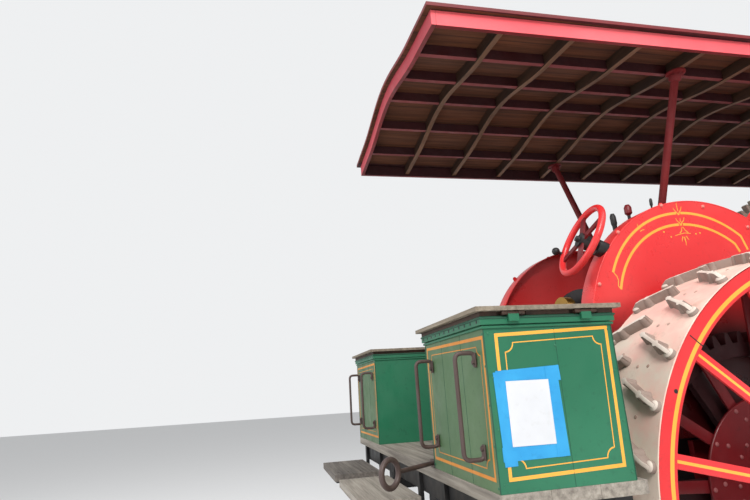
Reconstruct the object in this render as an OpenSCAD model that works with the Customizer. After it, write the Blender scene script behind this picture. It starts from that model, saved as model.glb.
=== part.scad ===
// Steam traction engine with a fuel bunker on each side of the rear platform and a long canopy.
// +X is forwards, +Y is the engine's left and Z = 0 is the ground under the wheel lugs.
// Sizes along X are measured from the rear axle, and the finished part is moved by origin_x.

/* [Rear wheels] */
// Radius of the rear wheel's rim, without the lugs
rear_rim_r = 1035; // [1000:5:1050]
// Width of the rear wheel's rim
rear_rim_w = 480; // [440:10:490]
// Height of the lugs that stand on the rim
lug_h = 44; // [34:2:50]
// Number of lugs in each of the two slanting rows
lug_count = 30; // [26:2:32]
// Width of a lug
lug_w = 40; // [30:2:46]
// Width of the flat ring on each side of the rim
rim_ring_w = 88; // [76:2:96]
// Thickness of the rim, its rings and the spokes
rim_t = 14; // [10:1:18]
// Number of flat spokes in the outer row
outer_spokes = 14; // [12:1:14]
// Number of flat spokes in the inner row
inner_spokes = 12; // [10:1:14]
// Width of a flat spoke
rear_spoke_w = 54; // [50:1:56]
// Distance from the middle of the engine to the outer face of a rear wheel
rear_face_y = 1190; // [1170:5:1210]
// Radius of the rear stub axle
axle_r = 62; // [50:1:70]

/* [Gears] */
// Teeth of the bull gear on each rear wheel
bull_teeth = 56; // [52:4:60]
// Teeth of the pinion that drives it
pinion_teeth = 14; // [12:1:15]
// Gear module, the pitch diameter for each tooth
gear_module = 25; // [22:0.5:25]
// Face width of the bull gear
bull_w = 80; // [60:5:84]

/* [Front wheels] */
// Distance from the rear axle to the front axle
wheelbase = 2950; // [2900:10:3050]
// Radius of a front wheel
front_r = 560; // [520:5:580]
// Width of a front wheel's rim
front_w = 230; // [180:10:250]
// Distance from the middle of the engine to the middle of a front wheel
front_y = 690; // [670:5:720]
// Number of round spokes in a front wheel
front_spokes = 12; // [10:2:14]

/* [Boiler] */
// Height of the boiler's middle line
boiler_z = 1720; // [1705:5:1735]
// Radius of the boiler barrel
barrel_r = 430; // [415:5:435]
// Radius of the smokebox
smokebox_r = 448; // [440:2:460]
// Length of the smokebox
smokebox_l = 620; // [560:10:680]
// Half width of the firebox
firebox_w2 = 440; // [436:1:446]
// Length of the firebox
firebox_l = 880; // [840:10:900]
// Thickness of the shell plates
plate_t = 14; // [10:1:18]
// Radius of the chimney
chimney_r = 150; // [130:5:165]
// Height of the chimney above the smokebox's middle line
chimney_h = 1480; // [1350:10:1560]

/* [Engine] */
// Distance of the crankshaft ahead of the rear axle
crank_x = 1150; // [1140:5:1165]
// Height of the crankshaft above the ground
crank_z = 2600; // [2590:5:2615]
// Radius of the flywheel
flywheel_r = 480; // [440:5:484]
// Width of the flywheel's rim
flywheel_w = 220; // [180:10:240]
// Throw of the crank
crank_throw = 125; // [100:5:130]
// Radius of the crankshaft
crank_r = 45; // [40:1:50]
// Bore radius of the cylinder's outside jacket
cylinder_r = 150; // [130:5:160]

/* [Platform] */
// Height of the platform's planks above the ground
deck_z = 1272; // [1260:2:1284]
// Thickness of a plank
plank_t = 46; // [40:1:50]
// Distance of the platform's rear edge behind the rear axle
deck_rear = 1652; // [1650:1:1670]

// Distance of the steps' rear edge behind the rear axle
step_rear = 1950; // [1930:5:1970]
// Height of the steps' tread above the ground
step_z = 1120; // [1100:5:1124]

/* [Bunkers] */
// Length of a bunker along the engine
bunker_l = 506; // [490:2:512]
// Width of a bunker
bunker_w = 668; // [640:2:690]
// Height of a bunker up to its cornice
bunker_h = 549; // [520:1:570]
// Distance from the middle of the engine to a bunker's outer side
bunker_y = 1237; // [1230:1:1245]
// Thickness of the bunker's walls
bunker_t = 12; // [8:1:16]
// Height of the cornice that runs round the top
cornice_h = 28; // [22:1:34]
// Thickness of the wooden lid
lid_t = 16; // [14:1:22]
// Distance that the lid stands out past the bunker's walls
lid_over = 33; // [26:1:36]

/* [Canopy] */
// Half width of the canopy
canopy_w2 = 922; // [900:2:940]
// Distance of the canopy's rear edge behind the rear axle
canopy_rear = 1596; // [1570:2:1620]
// Distance of the canopy's front edge ahead of the rear axle
canopy_front = 2430; // [2390:5:2440]
// Height of the fascia's lower edge above the ground
fascia_z = 3303; // [3290:1:3320]
// Height of the fascia
fascia_h = 107; // [100:1:115]
// Rise of the roof's shallow curve above its eaves
roof_rise = 50; // [40:5:60]
// Further rise of the arch along the middle
arch_rise = 66; // [50:2:80]
// Distance that the roof's edge stands out past the fascia
drip_w = 28; // [20:2:32]
// Distance from one rib to the next
rib_pitch = 408; // [400:1:420]

/* [Gear guards] */
// Radius of the arched guard beside the firebox
guard_r = 745; // [730:5:755]
// Height of the arch's centre above the ground
guard_z = 1808; // [1795:1:1815]
// Distance of the guard's face from the middle of the engine
guard_y = 600; // [596:1:604]
// Depth of the guard
guard_d = 108; // [96:2:112]

/* [Hidden] */
$fn = 64;

red = [0.8, 0.1, 0.12];
dark_red = [0.45, 0.07, 0.08];
green = [0.05, 0.36, 0.24];
black = [0.07, 0.07, 0.08];
iron = [0.3, 0.27, 0.25];
wood = [0.52, 0.5, 0.46];
brass = [0.75, 0.6, 0.25];

RIGHT = -1;
LEFT = 1;
seat_gap = 0.3;
run_gap = 0.05;

axle_z = rear_rim_r + lug_h;
rear_in_y = rear_face_y - rear_rim_w;
firebox_x1 = firebox_l / 2;
firebox_x0 = -firebox_l / 2;
firebox_z0 = 900;
smokebox_x1 = wheelbase + smokebox_l / 2;
smokebox_x0 = wheelbase - smokebox_l / 2;
// the pin drops in behind the steps
hitch_x = step_rear + 60;
hitch_pin_r = 22;
hitch_eye_r = 50;
origin_x = (wheelbase + front_r - hitch_x - hitch_eye_r) / 2;

hub_r = 130;
hub_y0 = guard_y + 4;
hub_y1 = rear_face_y + 12;
bull_r = gear_module * bull_teeth / 2;
pinion_r = gear_module * pinion_teeth / 2;
bull_y1 = rear_in_y - 12;
bull_y0 = bull_y1 - bull_w;
pinion_turn = 360 / bull_teeth;
pinion_x = (bull_r + pinion_r) * cos(pinion_turn);
pinion_z = axle_z + (bull_r + pinion_r) * sin(pinion_turn);
shaft_r = 48;

lid_z = deck_z + bunker_h + cornice_h;
batten_t = 17;
door_z = 1560;
door_w2 = 180;
door_h2 = 130;

// Every sub-part is drawn from the rear axle, on the left where it has a twin
module engine(side = LEFT) {
    translate([-origin_x, 0, 0]) mirror([0, side == RIGHT ? 1 : 0, 0]) children();
}

module bar_y(x, z, y0, y1, r) {
    translate([x, y0, z]) rotate([-90, 0, 0]) cylinder(r = r, h = y1 - y0);
}

module bar_x(x0, x1, y, z, r) {
    translate([x0, y, z]) rotate([0, 90, 0]) cylinder(r = r, h = x1 - x0);
}

module rod(a, b, r) {
    d = b - a;
    translate(a)
        rotate([0, acos(d[2] / norm(d)), atan2(d[1], d[0])])
            cylinder(r = r, h = norm(d));
}

module block(x0, x1, y0, y1, z0, z1) {
    translate([x0, y0, z0]) cube([x1 - x0, y1 - y0, z1 - z0]);
}

// A flat shape drawn in X and Z, with its thickness along Y
module plate_y(y0, y1) {
    translate([0, y1, 0]) rotate([90, 0, 0]) linear_extrude(y1 - y0) children();
}

module ring2d(r1, r0) {
    difference() {
        circle(r = r1, $fn = 96);
        circle(r = r0, $fn = 96);
    }
}

// Outline of a spur gear whose first tooth points along +X
module gear2d(teeth, m) {
    step = 360 / teeth;
    // columns: radius, half of the tooth's angle as a share of one step
    flank = [[m * teeth / 2 - 1.25 * m, 0.3], [m * teeth / 2, 0.2], [m * teeth / 2 + m, 0.11]];
    polygon([for (i = [0 : teeth - 1])
        for (k = [0 : 5])
            let (row = flank[k < 3 ? k : 5 - k], a = step * (i + (k < 3 ? -1 : 1) * row[1]))
                row[0] * [cos(a), sin(a)]]);
}

// Rear wheels

module rear_rim() {
    lug_l = rear_rim_w * 0.49;
    lug_slant = 28.7;
    first_lug = 8.5;
    color(red) translate([0, 0, axle_z]) {
        plate_y(rear_in_y, rear_face_y) ring2d(rear_rim_r, rear_rim_r - rim_t);
        for (y = [rear_in_y, rear_face_y - rim_t])
            plate_y(y, y + rim_t) ring2d(rear_rim_r - 1, rear_rim_r - rim_ring_w);
        // the inner row of lugs slants the other way and sits half a step on
        for (row = [0, 1])
            for (i = [0 : lug_count - 1])
                rotate([0, first_lug + (i + row / 2) * 360 / lug_count, 0])
                    translate([0, rear_in_y + rear_rim_w * (row == 0 ? 0.765 : 0.255), rear_rim_r - 4])
                        rotate([0, 0, row == 0 ? lug_slant : -lug_slant])
                            translate([-lug_w / 2, -lug_l / 2, 0])
                                cube([lug_w, lug_l, lug_h + 4]);
    }
}

// Two rows of flat spokes, each riveted to a disc on the hub and to a ring of the rim
module rear_hub() {
    outer_disc_r = 275;
    inner_disc_r = 408;
    spoke_root = 40;
    // depth that the spokes are let into a disc
    disc_bite = 1;
    // columns: number of spokes, angle of the first one from the top, inner face of the spokes
    rows = [[outer_spokes, 1.1, rear_face_y - 2 * rim_t - seat_gap],
        [inner_spokes, 3.8, rear_in_y + rim_t + seat_gap]];
    color(dark_red) translate([0, 0, axle_z]) difference() {
        union() {
            // turned so that no spoke's edge comes near the discs' seams
            rotate([0, 15, 0]) {
                bar_y(0, 0, hub_y0, hub_y1, hub_r);
                bar_y(0, 0, rear_face_y - rim_t - disc_bite, rear_face_y, outer_disc_r);
                bar_y(0, 0, rear_in_y + 2 * rim_t - disc_bite, rear_in_y + 3 * rim_t, inner_disc_r);
            }
            for (row = rows)
                for (i = [0 : row[0] - 1])
                    rotate([0, row[1] + i * 360 / row[0], 0])
                        translate([-rear_spoke_w / 2, row[2], hub_r + spoke_root])
                            cube([rear_spoke_w, rim_t, rear_rim_r - rim_t - 12 - hub_r - spoke_root]);
        }
        bar_y(0, 0, hub_y0 - 1, hub_y1 + 1, axle_r + run_gap);
    }
}

module bull_gear() {
    root_r = bull_r - 1.25 * gear_module;
    color(dark_red) translate([0, 0, axle_z]) {
        plate_y(bull_y0, bull_y1) difference() {
            gear2d(bull_teeth, gear_module);
            circle(r = root_r - 70, $fn = 96);
        }
        for (i = [0 : 5])
            rotate([0, (i + 0.5) * 60, 0])
                translate([-45, bull_y0 + 20, hub_r + 20])
                    cube([90, bull_w - 40, root_r - hub_r - 60]);
        plate_y(bull_y0, bull_y1) ring2d(hub_r + 60, hub_r + run_gap);
    }
}

// The gear's pitch point faces the bull gear, with one of its spaces there
module pinion() {
    color(iron) translate([pinion_x, 0, pinion_z])
        rotate([0, -pinion_turn + 180 / pinion_teeth, 0]) difference() {
            plate_y(bull_y0 - 4, bull_y1 + 4) gear2d(pinion_teeth, gear_module);
            bar_y(0, 0, bull_y0 - 10, bull_y1 + 10, shaft_r + run_gap);
        }
}

module countershaft() {
    hanger_y = 290;
    hanger_w = 60;
    hanger_w2 = 90;
    color(iron) {
        bar_y(pinion_x, pinion_z, -bull_y1 - 19, bull_y1 + 19, shaft_r);
        for (side = [RIGHT, LEFT]) mirror([0, side == RIGHT ? 1 : 0, 0]) {
            bar_y(pinion_x, pinion_z, bull_y1 + 5, bull_y1 + 17, shaft_r + 14);
            bar_y(pinion_x, pinion_z, bull_y0 - 40, bull_y0 - 10, shaft_r + 26);
            difference() {
                plate_y(hanger_y, hanger_y + hanger_w) difference() {
                    union() {
                        translate([pinion_x, pinion_z]) circle(r = hanger_w2);
                        translate([pinion_x - hanger_w2 + 5, pinion_z])
                            square([2 * hanger_w2 - 10, boiler_z - barrel_r * 0.5 - pinion_z]);
                    }
                    translate([pinion_x, pinion_z]) circle(r = shaft_r + run_gap);
                }
                bar_x(pinion_x - 200, pinion_x + 200, 0, boiler_z, barrel_r + seat_gap);
            }
        }
    }
}

module rear_axle() {
    color(iron) for (side = [RIGHT, LEFT]) mirror([0, side == RIGHT ? 1 : 0, 0]) {
        block(-210, 210, firebox_w2 + seat_gap, firebox_w2 + 34, firebox_z0 + 10, axle_z + 190);
        bar_y(0, axle_z, firebox_w2 + seat_gap, hub_y0 - 2, 150);
        bar_y(0, axle_z, firebox_w2 + seat_gap, hub_y1 + 34, axle_r);
        bar_y(0, axle_z, hub_y1 + 2, hub_y1 + 24, axle_r + 36);
    }
}

// Front wheels and steering

module front_wheel() {
    face = front_y + front_w / 2;
    inside = front_y - front_w / 2;
    rim = 18;
    color(red) difference() {
        union() {
            translate([wheelbase, 0, front_r]) {
                plate_y(inside, face) ring2d(front_r, front_r - rim);
                // raised band that keeps the wheel from sliding sideways
                plate_y(front_y - 20, front_y + 20) ring2d(front_r, front_r - rim - 20);
                for (i = [0 : front_spokes - 1])
                    rotate([0, i * 360 / front_spokes, 0])
                        translate([0, front_y, 0])
                            rotate([i % 2 == 0 ? 6 : -6, 0, 0])
                                translate([0, i % 2 == 0 ? 45 : -45, 60])
                                    cylinder(r = 14, h = front_r - rim - 64);
            }
            bar_y(wheelbase, front_r, inside - 30, face + 20, 78);
        }
        bar_y(wheelbase, front_r, inside - 31, face + 21, 38 + run_gap);
    }
}

module front_axle() {
    beam_y = front_y - front_w / 2 - 34;
    color(iron) {
        block(wheelbase - 55, wheelbase + 55, -beam_y, beam_y, front_r - 60, front_r + 60);
        bar_y(wheelbase, front_r, -front_y - front_w / 2 - 52, front_y + front_w / 2 + 52, 38);
        for (s = [-1, 1])
            bar_y(wheelbase, front_r, s * (front_y + front_w / 2 + 36) - 14,
                s * (front_y + front_w / 2 + 36) + 14, 62);
        translate([wheelbase, 0, front_r + 59]) cylinder(r = 165, h = 41);
        // eyes that the steering chains pull on
        for (s = [-1, 1]) {
            rod([wheelbase - 50, s * chain_y, front_r + 20], [wheelbase - 90, s * chain_y, front_r + 28], 14);
            translate([wheelbase - 115, s * chain_y, front_r + 32]) rotate([90, 0, 0])
                rotate_extrude() translate([26, 0]) circle(r = 9, $fn = 24);
        }
    }
}

module front_pedestal() {
    foot_z = front_r + 100 + seat_gap;
    color(iron) difference() {
        union() {
            translate([wheelbase, 0, foot_z]) cylinder(r = 165, h = 40);
            translate([wheelbase, 0, foot_z + 39]) cylinder(r1 = 120, r2 = 150, h = 500);
            block(wheelbase - 190, wheelbase + 190, -250, 250, foot_z + 380, foot_z + 720);
        }
        bar_x(wheelbase - 250, wheelbase + 250, 0, boiler_z, smokebox_r + seat_gap);
    }
}

roller_x = 640;
roller_z = 985;
roller_r = 55;
roller_shaft_r = 24;
worm_wheel_r = 100;
worm_wheel_y = 520;
worm_wheel_w = 30;
hanger_t = 26;

module steering_roller() {
    roller_y = firebox_w2 - 6;
    color(iron) {
        bar_y(roller_x, roller_z, -worm_wheel_y - 30, firebox_w2 + hanger_t + 14, roller_shaft_r);
        bar_y(roller_x, roller_z, -roller_y, roller_y, roller_r);
        for (y = [-roller_y, roller_y - 14]) bar_y(roller_x, roller_z, y, y + 14, roller_r + 22);
        bar_y(roller_x, roller_z, -worm_wheel_y - worm_wheel_w / 2, -worm_wheel_y + worm_wheel_w / 2, worm_wheel_r);
    }
}

chain_y = 290;
chain_wire = 9;
link_l = 70;
link_w = 34;
link_pitch = link_l - 2 * chain_wire - seat_gap;
chain_start = [roller_x + 90, 0, roller_z - roller_r - 8];
chain_end = [wheelbase - 200, 0, front_r + 36];
chain_l = norm(chain_end - chain_start);
chain_drop = asin((chain_start[2] - chain_end[2]) / chain_l);
chain_rest_r = 12;

// Places a shape in the frame of the chain on one side, with +X along its run
module along_chain(s) {
    translate(chain_start + [0, s * chain_y, 0]) rotate([0, chain_drop, 0]) children();
}

module link2d(grow) {
    corner = 10;
    l = link_l / 2 - grow;
    w = link_w / 2 - grow;
    c = corner - grow / 2;
    polygon([[l, w - c], [l - c, w], [c - l, w], [-l, w - c], [-l, c - w], [c - l, -w], [l - c, -w], [l, c - w]]);
}

// Each run stops short of the front axle's eye
module steering_chains() {
    color(iron) for (s = [-1, 1]) along_chain(s)
        for (i = [0 : floor((chain_l - link_l) / link_pitch)])
            translate([link_l / 2 + i * link_pitch, 0, 0]) rotate([i % 2 == 0 ? 0 : 90, 0, 0])
                translate([0, 0, -chain_wire / 2]) linear_extrude(chain_wire) difference() {
                    link2d(0);
                    link2d(chain_wire);
                }
}

hand_c = [-717, -550, 2329];
hand_axis = [0.888, -0.109, -0.447];
hand_tilt = acos(hand_axis[2] / norm(hand_axis));
hand_turn = atan2(hand_axis[1], hand_axis[0]);
hand_r = 210;
hand_shaft_r = 16;
hand_shaft_l = 118;

module along_hand() {
    translate(hand_c) rotate([0, hand_tilt, hand_turn]) children();
}

module handwheel() {
    rim_r = 18;
    spoke_w = 38;
    spoke_t = 11;
    knob_at = 80;
    knob_r = 22;
    knob_h = 52;
    color(red) along_hand() {
        rotate_extrude() translate([hand_r - rim_r, 0]) circle(r = rim_r, $fn = 24);
        for (i = [0 : 3]) rotate([0, 0, 65 + i * 90])
            translate([20, -spoke_w / 2, -spoke_t / 2]) cube([hand_r - rim_r - 24, spoke_w, spoke_t]);
        translate([0, 0, -16]) cylinder(r = 40, h = 60);
        translate([0, 0, -34]) cylinder(r = hand_shaft_r, h = hand_shaft_l + 34);
        // round knob that the driver spins the wheel by
        rotate([0, 0, knob_at]) translate([hand_r - rim_r, 0, 0]) {
            translate([0, 0, -knob_h + 10]) cylinder(r = 9, h = knob_h - 10);
            translate([0, 0, -knob_h]) sphere(r = knob_r, $fn = 32);
        }
    }
}

// Fixed pieces of the steering: the handwheel's bearing on the guard, the column inside the
// guard with its worm box, and the two plates that carry the roller
module steering_brackets() {
    plate_y0 = firebox_w2 + seat_gap;
    box_z = roller_z + worm_wheel_r + 6;
    box_w2 = 55;
    box_h = 70;
    column_y = -530;
    column_top = [hand_c[0] + 240, column_y, hand_c[2] - 130];
    color(iron) {
        difference() {
            along_hand() translate([0, 0, 84]) cylinder(r = 44, h = 130);
            along_hand() cylinder(r = hand_shaft_r + run_gap, h = hand_shaft_l + 2);
            bar_y(guard_x, guard_z, -guard_y - 100, 0, guard_r + seat_gap);
        }
        for (s = [-1, 1]) {
            plate_y(s > 0 ? plate_y0 : -plate_y0 - hanger_t, s > 0 ? plate_y0 + hanger_t : -plate_y0)
                difference() {
                    union() {
                        translate([roller_x, roller_z]) circle(r = 62);
                        translate([firebox_x1 - 140, roller_z - 50])
                            square([roller_x - firebox_x1 + 140, 105]);
                        translate([roller_x + 5, roller_z - 135]) square([215, 100]);
                        if (s < 0) translate([roller_x - box_w2, roller_z]) square([2 * box_w2, worm_wheel_r + 30]);
                    }
                    translate([roller_x, roller_z]) circle(r = roller_shaft_r + run_gap);
                }
            // bar that the chain lies on
            along_chain(s) translate([link_l / 2 + link_pitch, 0, -link_w / 2 - seat_gap - chain_rest_r])
                bar_y(0, 0, s > 0 ? -30 : chain_y - plate_y0 - 10, s > 0 ? plate_y0 + 10 - chain_y : 30, chain_rest_r);
        }
        block(roller_x - box_w2, roller_x + box_w2, -worm_wheel_y - 35, -plate_y0 - 1, box_z, box_z + box_h);
        rod([roller_x, column_y, box_z + box_h - 10], column_top, 16);
    }
}

// Boiler

module firebox2d(w2, z0, r) {
    union() {
        translate([0, boiler_z]) circle(r = r, $fn = 96);
        translate([-w2, z0]) square([2 * w2, boiler_z - z0]);
    }
}

module boiler() {
    cav_w2 = 320;
    color(black) difference() {
        union() {
            bar_x(firebox_x1 - 10, smokebox_x0 - seat_gap, 0, boiler_z, barrel_r);
            translate([firebox_x0, 0, 0]) rotate([90, 0, 90])
                linear_extrude(firebox_l) firebox2d(firebox_w2, firebox_z0, firebox_w2);
        }
        // the furnace and its mouth behind the fire door
        block(firebox_x0 + 90, firebox_x1 - 90, -cav_w2, cav_w2, firebox_z0 + 160, boiler_z + 120);
        block(firebox_x0 - 10, firebox_x0 + 100, -door_w2, door_w2, door_z - door_h2, door_z + door_h2);
    }
    // ash pan
    color(iron) block(firebox_x0 + 40, firebox_x1 - 40, -firebox_w2 + 60, firebox_w2 - 60, firebox_z0 - 190,
        firebox_z0 + 1);
    // lugs and pin that carry the fire door
    color(iron) {
        for (z = [door_z - 112, door_z + 86])
            block(fire_hinge_x - 16, firebox_x0 + 1, fire_hinge_y - 16, fire_hinge_y + 16, z, z + 26);
        translate([fire_hinge_x, fire_hinge_y, door_z - 112]) cylinder(r = 8, h = 224);
    }
}

fire_hinge_x = firebox_x0 - 30;
fire_hinge_y = door_w2 + 60;

module fire_door() {
    color(iron) {
        block(firebox_x0 - 30, firebox_x0 - 8, -door_w2 - 24, door_w2 + 24, door_z - door_h2 - 24,
            door_z + door_h2 + 24);
        difference() {
            union() {
                translate([fire_hinge_x, fire_hinge_y, door_z - 80]) cylinder(r = 16, h = 160);
                block(firebox_x0 - 30, firebox_x0 - 20, door_w2 + 23, fire_hinge_y, door_z - 70, door_z + 70);
            }
            translate([fire_hinge_x, fire_hinge_y, door_z - 90]) cylinder(r = 8 + run_gap, h = 180);
        }
    }
}

smoke_door_r = smokebox_r - 70;
smoke_hinge_x = smokebox_x1 + 44;
smoke_hinge_y = smoke_door_r + 34;

module smokebox() {
    color(black) {
        difference() {
            union() {
                bar_x(smokebox_x0, smokebox_x1, 0, boiler_z, smokebox_r);
                bar_x(smokebox_x1 - 1, smokebox_x1 + 20, 0, boiler_z, smokebox_r + 16);
            }
            bar_x(smokebox_x0 + plate_t, smokebox_x1 - plate_t, 0, boiler_z, smokebox_r - plate_t);
            bar_x(smokebox_x1 - 60, smokebox_x1 + 60, 0, boiler_z, smoke_door_r - 40);
            translate([wheelbase, 0, boiler_z]) cylinder(r = chimney_r - plate_t, h = smokebox_r + 60);
        }
        for (z = [boiler_z - 152, boiler_z + 122])
            block(smokebox_x1 + 19, smoke_hinge_x + 14, smoke_hinge_y - 14, smoke_hinge_y + 14, z, z + 30);
        translate([smoke_hinge_x, smoke_hinge_y, boiler_z - 152]) cylinder(r = 8, h = 304);
    }
}

module smokebox_door() {
    color(black) {
        bar_x(smokebox_x1 + 26, smokebox_x1 + 44, 0, boiler_z, smoke_door_r);
        translate([smokebox_x1 + 43, 0, boiler_z]) rotate([0, 90, 0]) cylinder(r1 = 220, r2 = 70, h = 36);
        bar_x(smokebox_x1 + 70, smokebox_x1 + 130, 0, boiler_z, 18);
        difference() {
            union() {
                for (z = [-112, 70]) {
                    block(smokebox_x1 + 43, smokebox_x1 + 54, -200, smoke_hinge_y, boiler_z + z, boiler_z + z + 42);
                    translate([smoke_hinge_x, smoke_hinge_y, boiler_z + z]) cylinder(r = 16, h = 42);
                }
            }
            translate([smoke_hinge_x, smoke_hinge_y, boiler_z - 200]) cylinder(r = 8 + run_gap, h = 400);
        }
    }
}

module chimney() {
    base_z = boiler_z + smokebox_r;
    top_z = boiler_z + chimney_h;
    color(black) difference() {
        union() {
            difference() {
                translate([wheelbase, 0, base_z - 70]) cylinder(r = chimney_r + 60, h = 110);
                bar_x(wheelbase - 300, wheelbase + 300, 0, boiler_z, smokebox_r + seat_gap);
            }
            translate([wheelbase, 0, base_z + 30])
                cylinder(r1 = chimney_r, r2 = chimney_r + 24, h = top_z - base_z - 150);
            translate([wheelbase, 0, top_z - 121]) cylinder(r1 = chimney_r + 24, r2 = chimney_r + 80, h = 90);
            translate([wheelbase, 0, top_z - 32]) cylinder(r = chimney_r + 80, h = 32);
        }
        translate([wheelbase, 0, base_z - 100]) cylinder(r = chimney_r - plate_t, h = chimney_h);
    }
}

module steam_dome() {
    dome_x = 1480;
    dome_r = 230;
    color(black) difference() {
        union() {
            translate([dome_x, 0, boiler_z + 300]) cylinder(r = dome_r, h = 420);
            translate([dome_x, 0, boiler_z + 720]) intersection() {
                sphere(r = dome_r);
                cylinder(r = dome_r, h = dome_r);
            }
        }
        bar_x(dome_x - 400, dome_x + 400, 0, boiler_z, barrel_r + seat_gap);
    }
}

module backhead_fittings() {
    color(brass) {
        bar_x(firebox_x0 - 70, firebox_x0 - seat_gap, 0, boiler_z + 300, 20);
        bar_x(firebox_x0 - 110, firebox_x0 - 60, 0, boiler_z + 300, 95);
        for (s = [-1, 1])
            bar_x(firebox_x0 - 60, firebox_x0 - seat_gap, 150 * s, boiler_z + 120, 14);
    }
}

guard_x = -20;

module gear_guard() {
    low_z = deck_z + 30;
    sheet = 6;
    color(red) {
        difference() {
            plate_y(guard_y - guard_d, guard_y) union() {
                translate([guard_x, guard_z]) circle(r = guard_r, $fn = 128);
                translate([guard_x - guard_r, low_z]) square([2 * guard_r, guard_z - low_z]);
            }
            plate_y(guard_y - guard_d - 1, guard_y - sheet) union() {
                translate([guard_x, guard_z]) circle(r = guard_r - sheet, $fn = 128);
                translate([guard_x - guard_r + sheet, low_z - 10])
                    square([2 * (guard_r - sheet), guard_z - low_z + 10]);
            }
            block(-1000, 1000, guard_y - guard_d - 1, guard_y + 1, low_z - 1000, low_z);
        }
        // stays that hold the guard off the firebox
        for (x = [-300, 300])
            bar_y(x, guard_z - 200, firebox_w2 + seat_gap, guard_y - sheet + 1, 16);
    }
}

// Engine

module crankshaft() {
    color(iron) {
        bar_y(crank_x, crank_z, -900, 350, crank_r);
        bar_y(crank_x, crank_z, 340, 385, crank_throw + 60);
        bar_y(crank_x, crank_z + crank_throw, 384, 410, 26);
    }
}

module flywheel() {
    y0 = -890;
    color(red) translate([crank_x, 0, crank_z]) {
        plate_y(y0, y0 + flywheel_w) ring2d(flywheel_r, flywheel_r - 30);
        plate_y(y0 + 80, y0 + 140) ring2d(flywheel_r - 29, flywheel_r - 60);
        for (i = [0 : 5]) rotate([0, i * 60, 0])
            translate([-30, y0 + 92, 80]) cube([60, 36, flywheel_r - 120]);
        plate_y(y0 + 20, y0 + 200) ring2d(105, crank_r + run_gap);
    }
}

module engine_frame() {
    color(dark_red) {
        for (y = [-330, 230])
            difference() {
                union() {
                    block(crank_x - 130, crank_x + 130, y, y + 90, boiler_z + 200, crank_z);
                    bar_y(crank_x, crank_z, y, y + 90, 105);
                }
                bar_x(crank_x - 300, crank_x + 300, 0, boiler_z, barrel_r + seat_gap);
                bar_y(crank_x, crank_z, y - 1, y + 91, crank_r + run_gap);
            }
        block(crank_x + 129, cylinder_x0, 250, 320, crank_z - 260, crank_z - 150);
        for (z = [crank_z - 150, crank_z + 110])
            block(guide_x0, cylinder_x0, 250, cylinder_y + 130, z, z + 40);
    }
    // bracket and stud that carry the big gear
    color(iron) {
        difference() {
            block(gear_x - 85, gear_x + 85, gear_y1 + 15, -200, boiler_z + 180, gear_z + 85);
            bar_x(gear_x - 100, gear_x + 100, 0, boiler_z, barrel_r + seat_gap);
        }
        bar_y(gear_x, gear_z, gear_y0 - 28, gear_y1 + 20, gear_stud_r);
        bar_y(gear_x, gear_z, gear_y0 - 24, gear_y0 - 6, gear_stud_r + 24);
    }
}

gear_x = 782;
gear_z = 2188;
gear_teeth = 46;
gear_y0 = -486;
gear_y1 = -450;
gear_stud_r = 42;

// Gear between the crankshaft and the shaft of the pinions; the crank's own pinion is slid out of it
module intermediate_gear() {
    pitch_m = 20;
    root_r = pitch_m * gear_teeth / 2 - 1.25 * pitch_m;
    color(red) translate([gear_x, 0, gear_z]) difference() {
        union() {
            plate_y(gear_y0, gear_y1) difference() {
                gear2d(gear_teeth, pitch_m);
                circle(r = root_r - 34, $fn = 96);
            }
            plate_y(gear_y0 + 12, gear_y1 - 12) difference() {
                circle(r = root_r - 20, $fn = 96);
                for (i = [0 : 5]) rotate(i * 60) translate([root_r * 0.58, 0]) circle(r = 88);
            }
            plate_y(gear_y0, gear_y1) circle(r = 100);
        }
        bar_y(0, 0, gear_y0 - 1, gear_y1 + 1, gear_stud_r + run_gap);
    }
}

cylinder_x0 = crank_x + 750;
cylinder_x1 = cylinder_x0 + 450;
cylinder_y = 430;
crosshead_x = crank_x + 430;
guide_x0 = crosshead_x - 90;

module cylinder_block() {
    flange_t = 32;
    color(dark_red) difference() {
        union() {
            bar_x(cylinder_x0 + seat_gap, cylinder_x1, cylinder_y, crank_z, cylinder_r);
            for (x = [cylinder_x0 + seat_gap, cylinder_x1 - flange_t])
                bar_x(x, x + flange_t, cylinder_y, crank_z, cylinder_r + 24);
            // steam chest beside the cylinder and the saddle that stands on the boiler
            block(cylinder_x0 + 50, cylinder_x1 - 55, cylinder_y - 230, cylinder_y - 30, crank_z - 100, crank_z + 100);
            block(cylinder_x0 + 50, cylinder_x1 - 55, cylinder_y - 190, cylinder_y + 70, boiler_z + 120, crank_z - 60);
        }
        bar_x(cylinder_x0 - 50, cylinder_x1 + 50, 0, boiler_z, barrel_r + seat_gap);
    }
}

// The rod's big end hangs clear of the crank pin, which turns by itself
module connecting_rod() {
    end_y0 = cylinder_y - 14;
    color(iron) {
        rod([crank_x, cylinder_y + 6, crank_z + crank_throw], [crosshead_x, cylinder_y + 6, crank_z], 24);
        bar_y(crank_x, crank_z + crank_throw, end_y0, end_y0 + 40, 56);
        block(crosshead_x - 70, crosshead_x + 90, cylinder_y - 40, cylinder_y + 50, crank_z - 60, crank_z + 60);
        bar_x(crosshead_x + 89, cylinder_x0, cylinder_y, crank_z, 22);
    }
}

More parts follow.
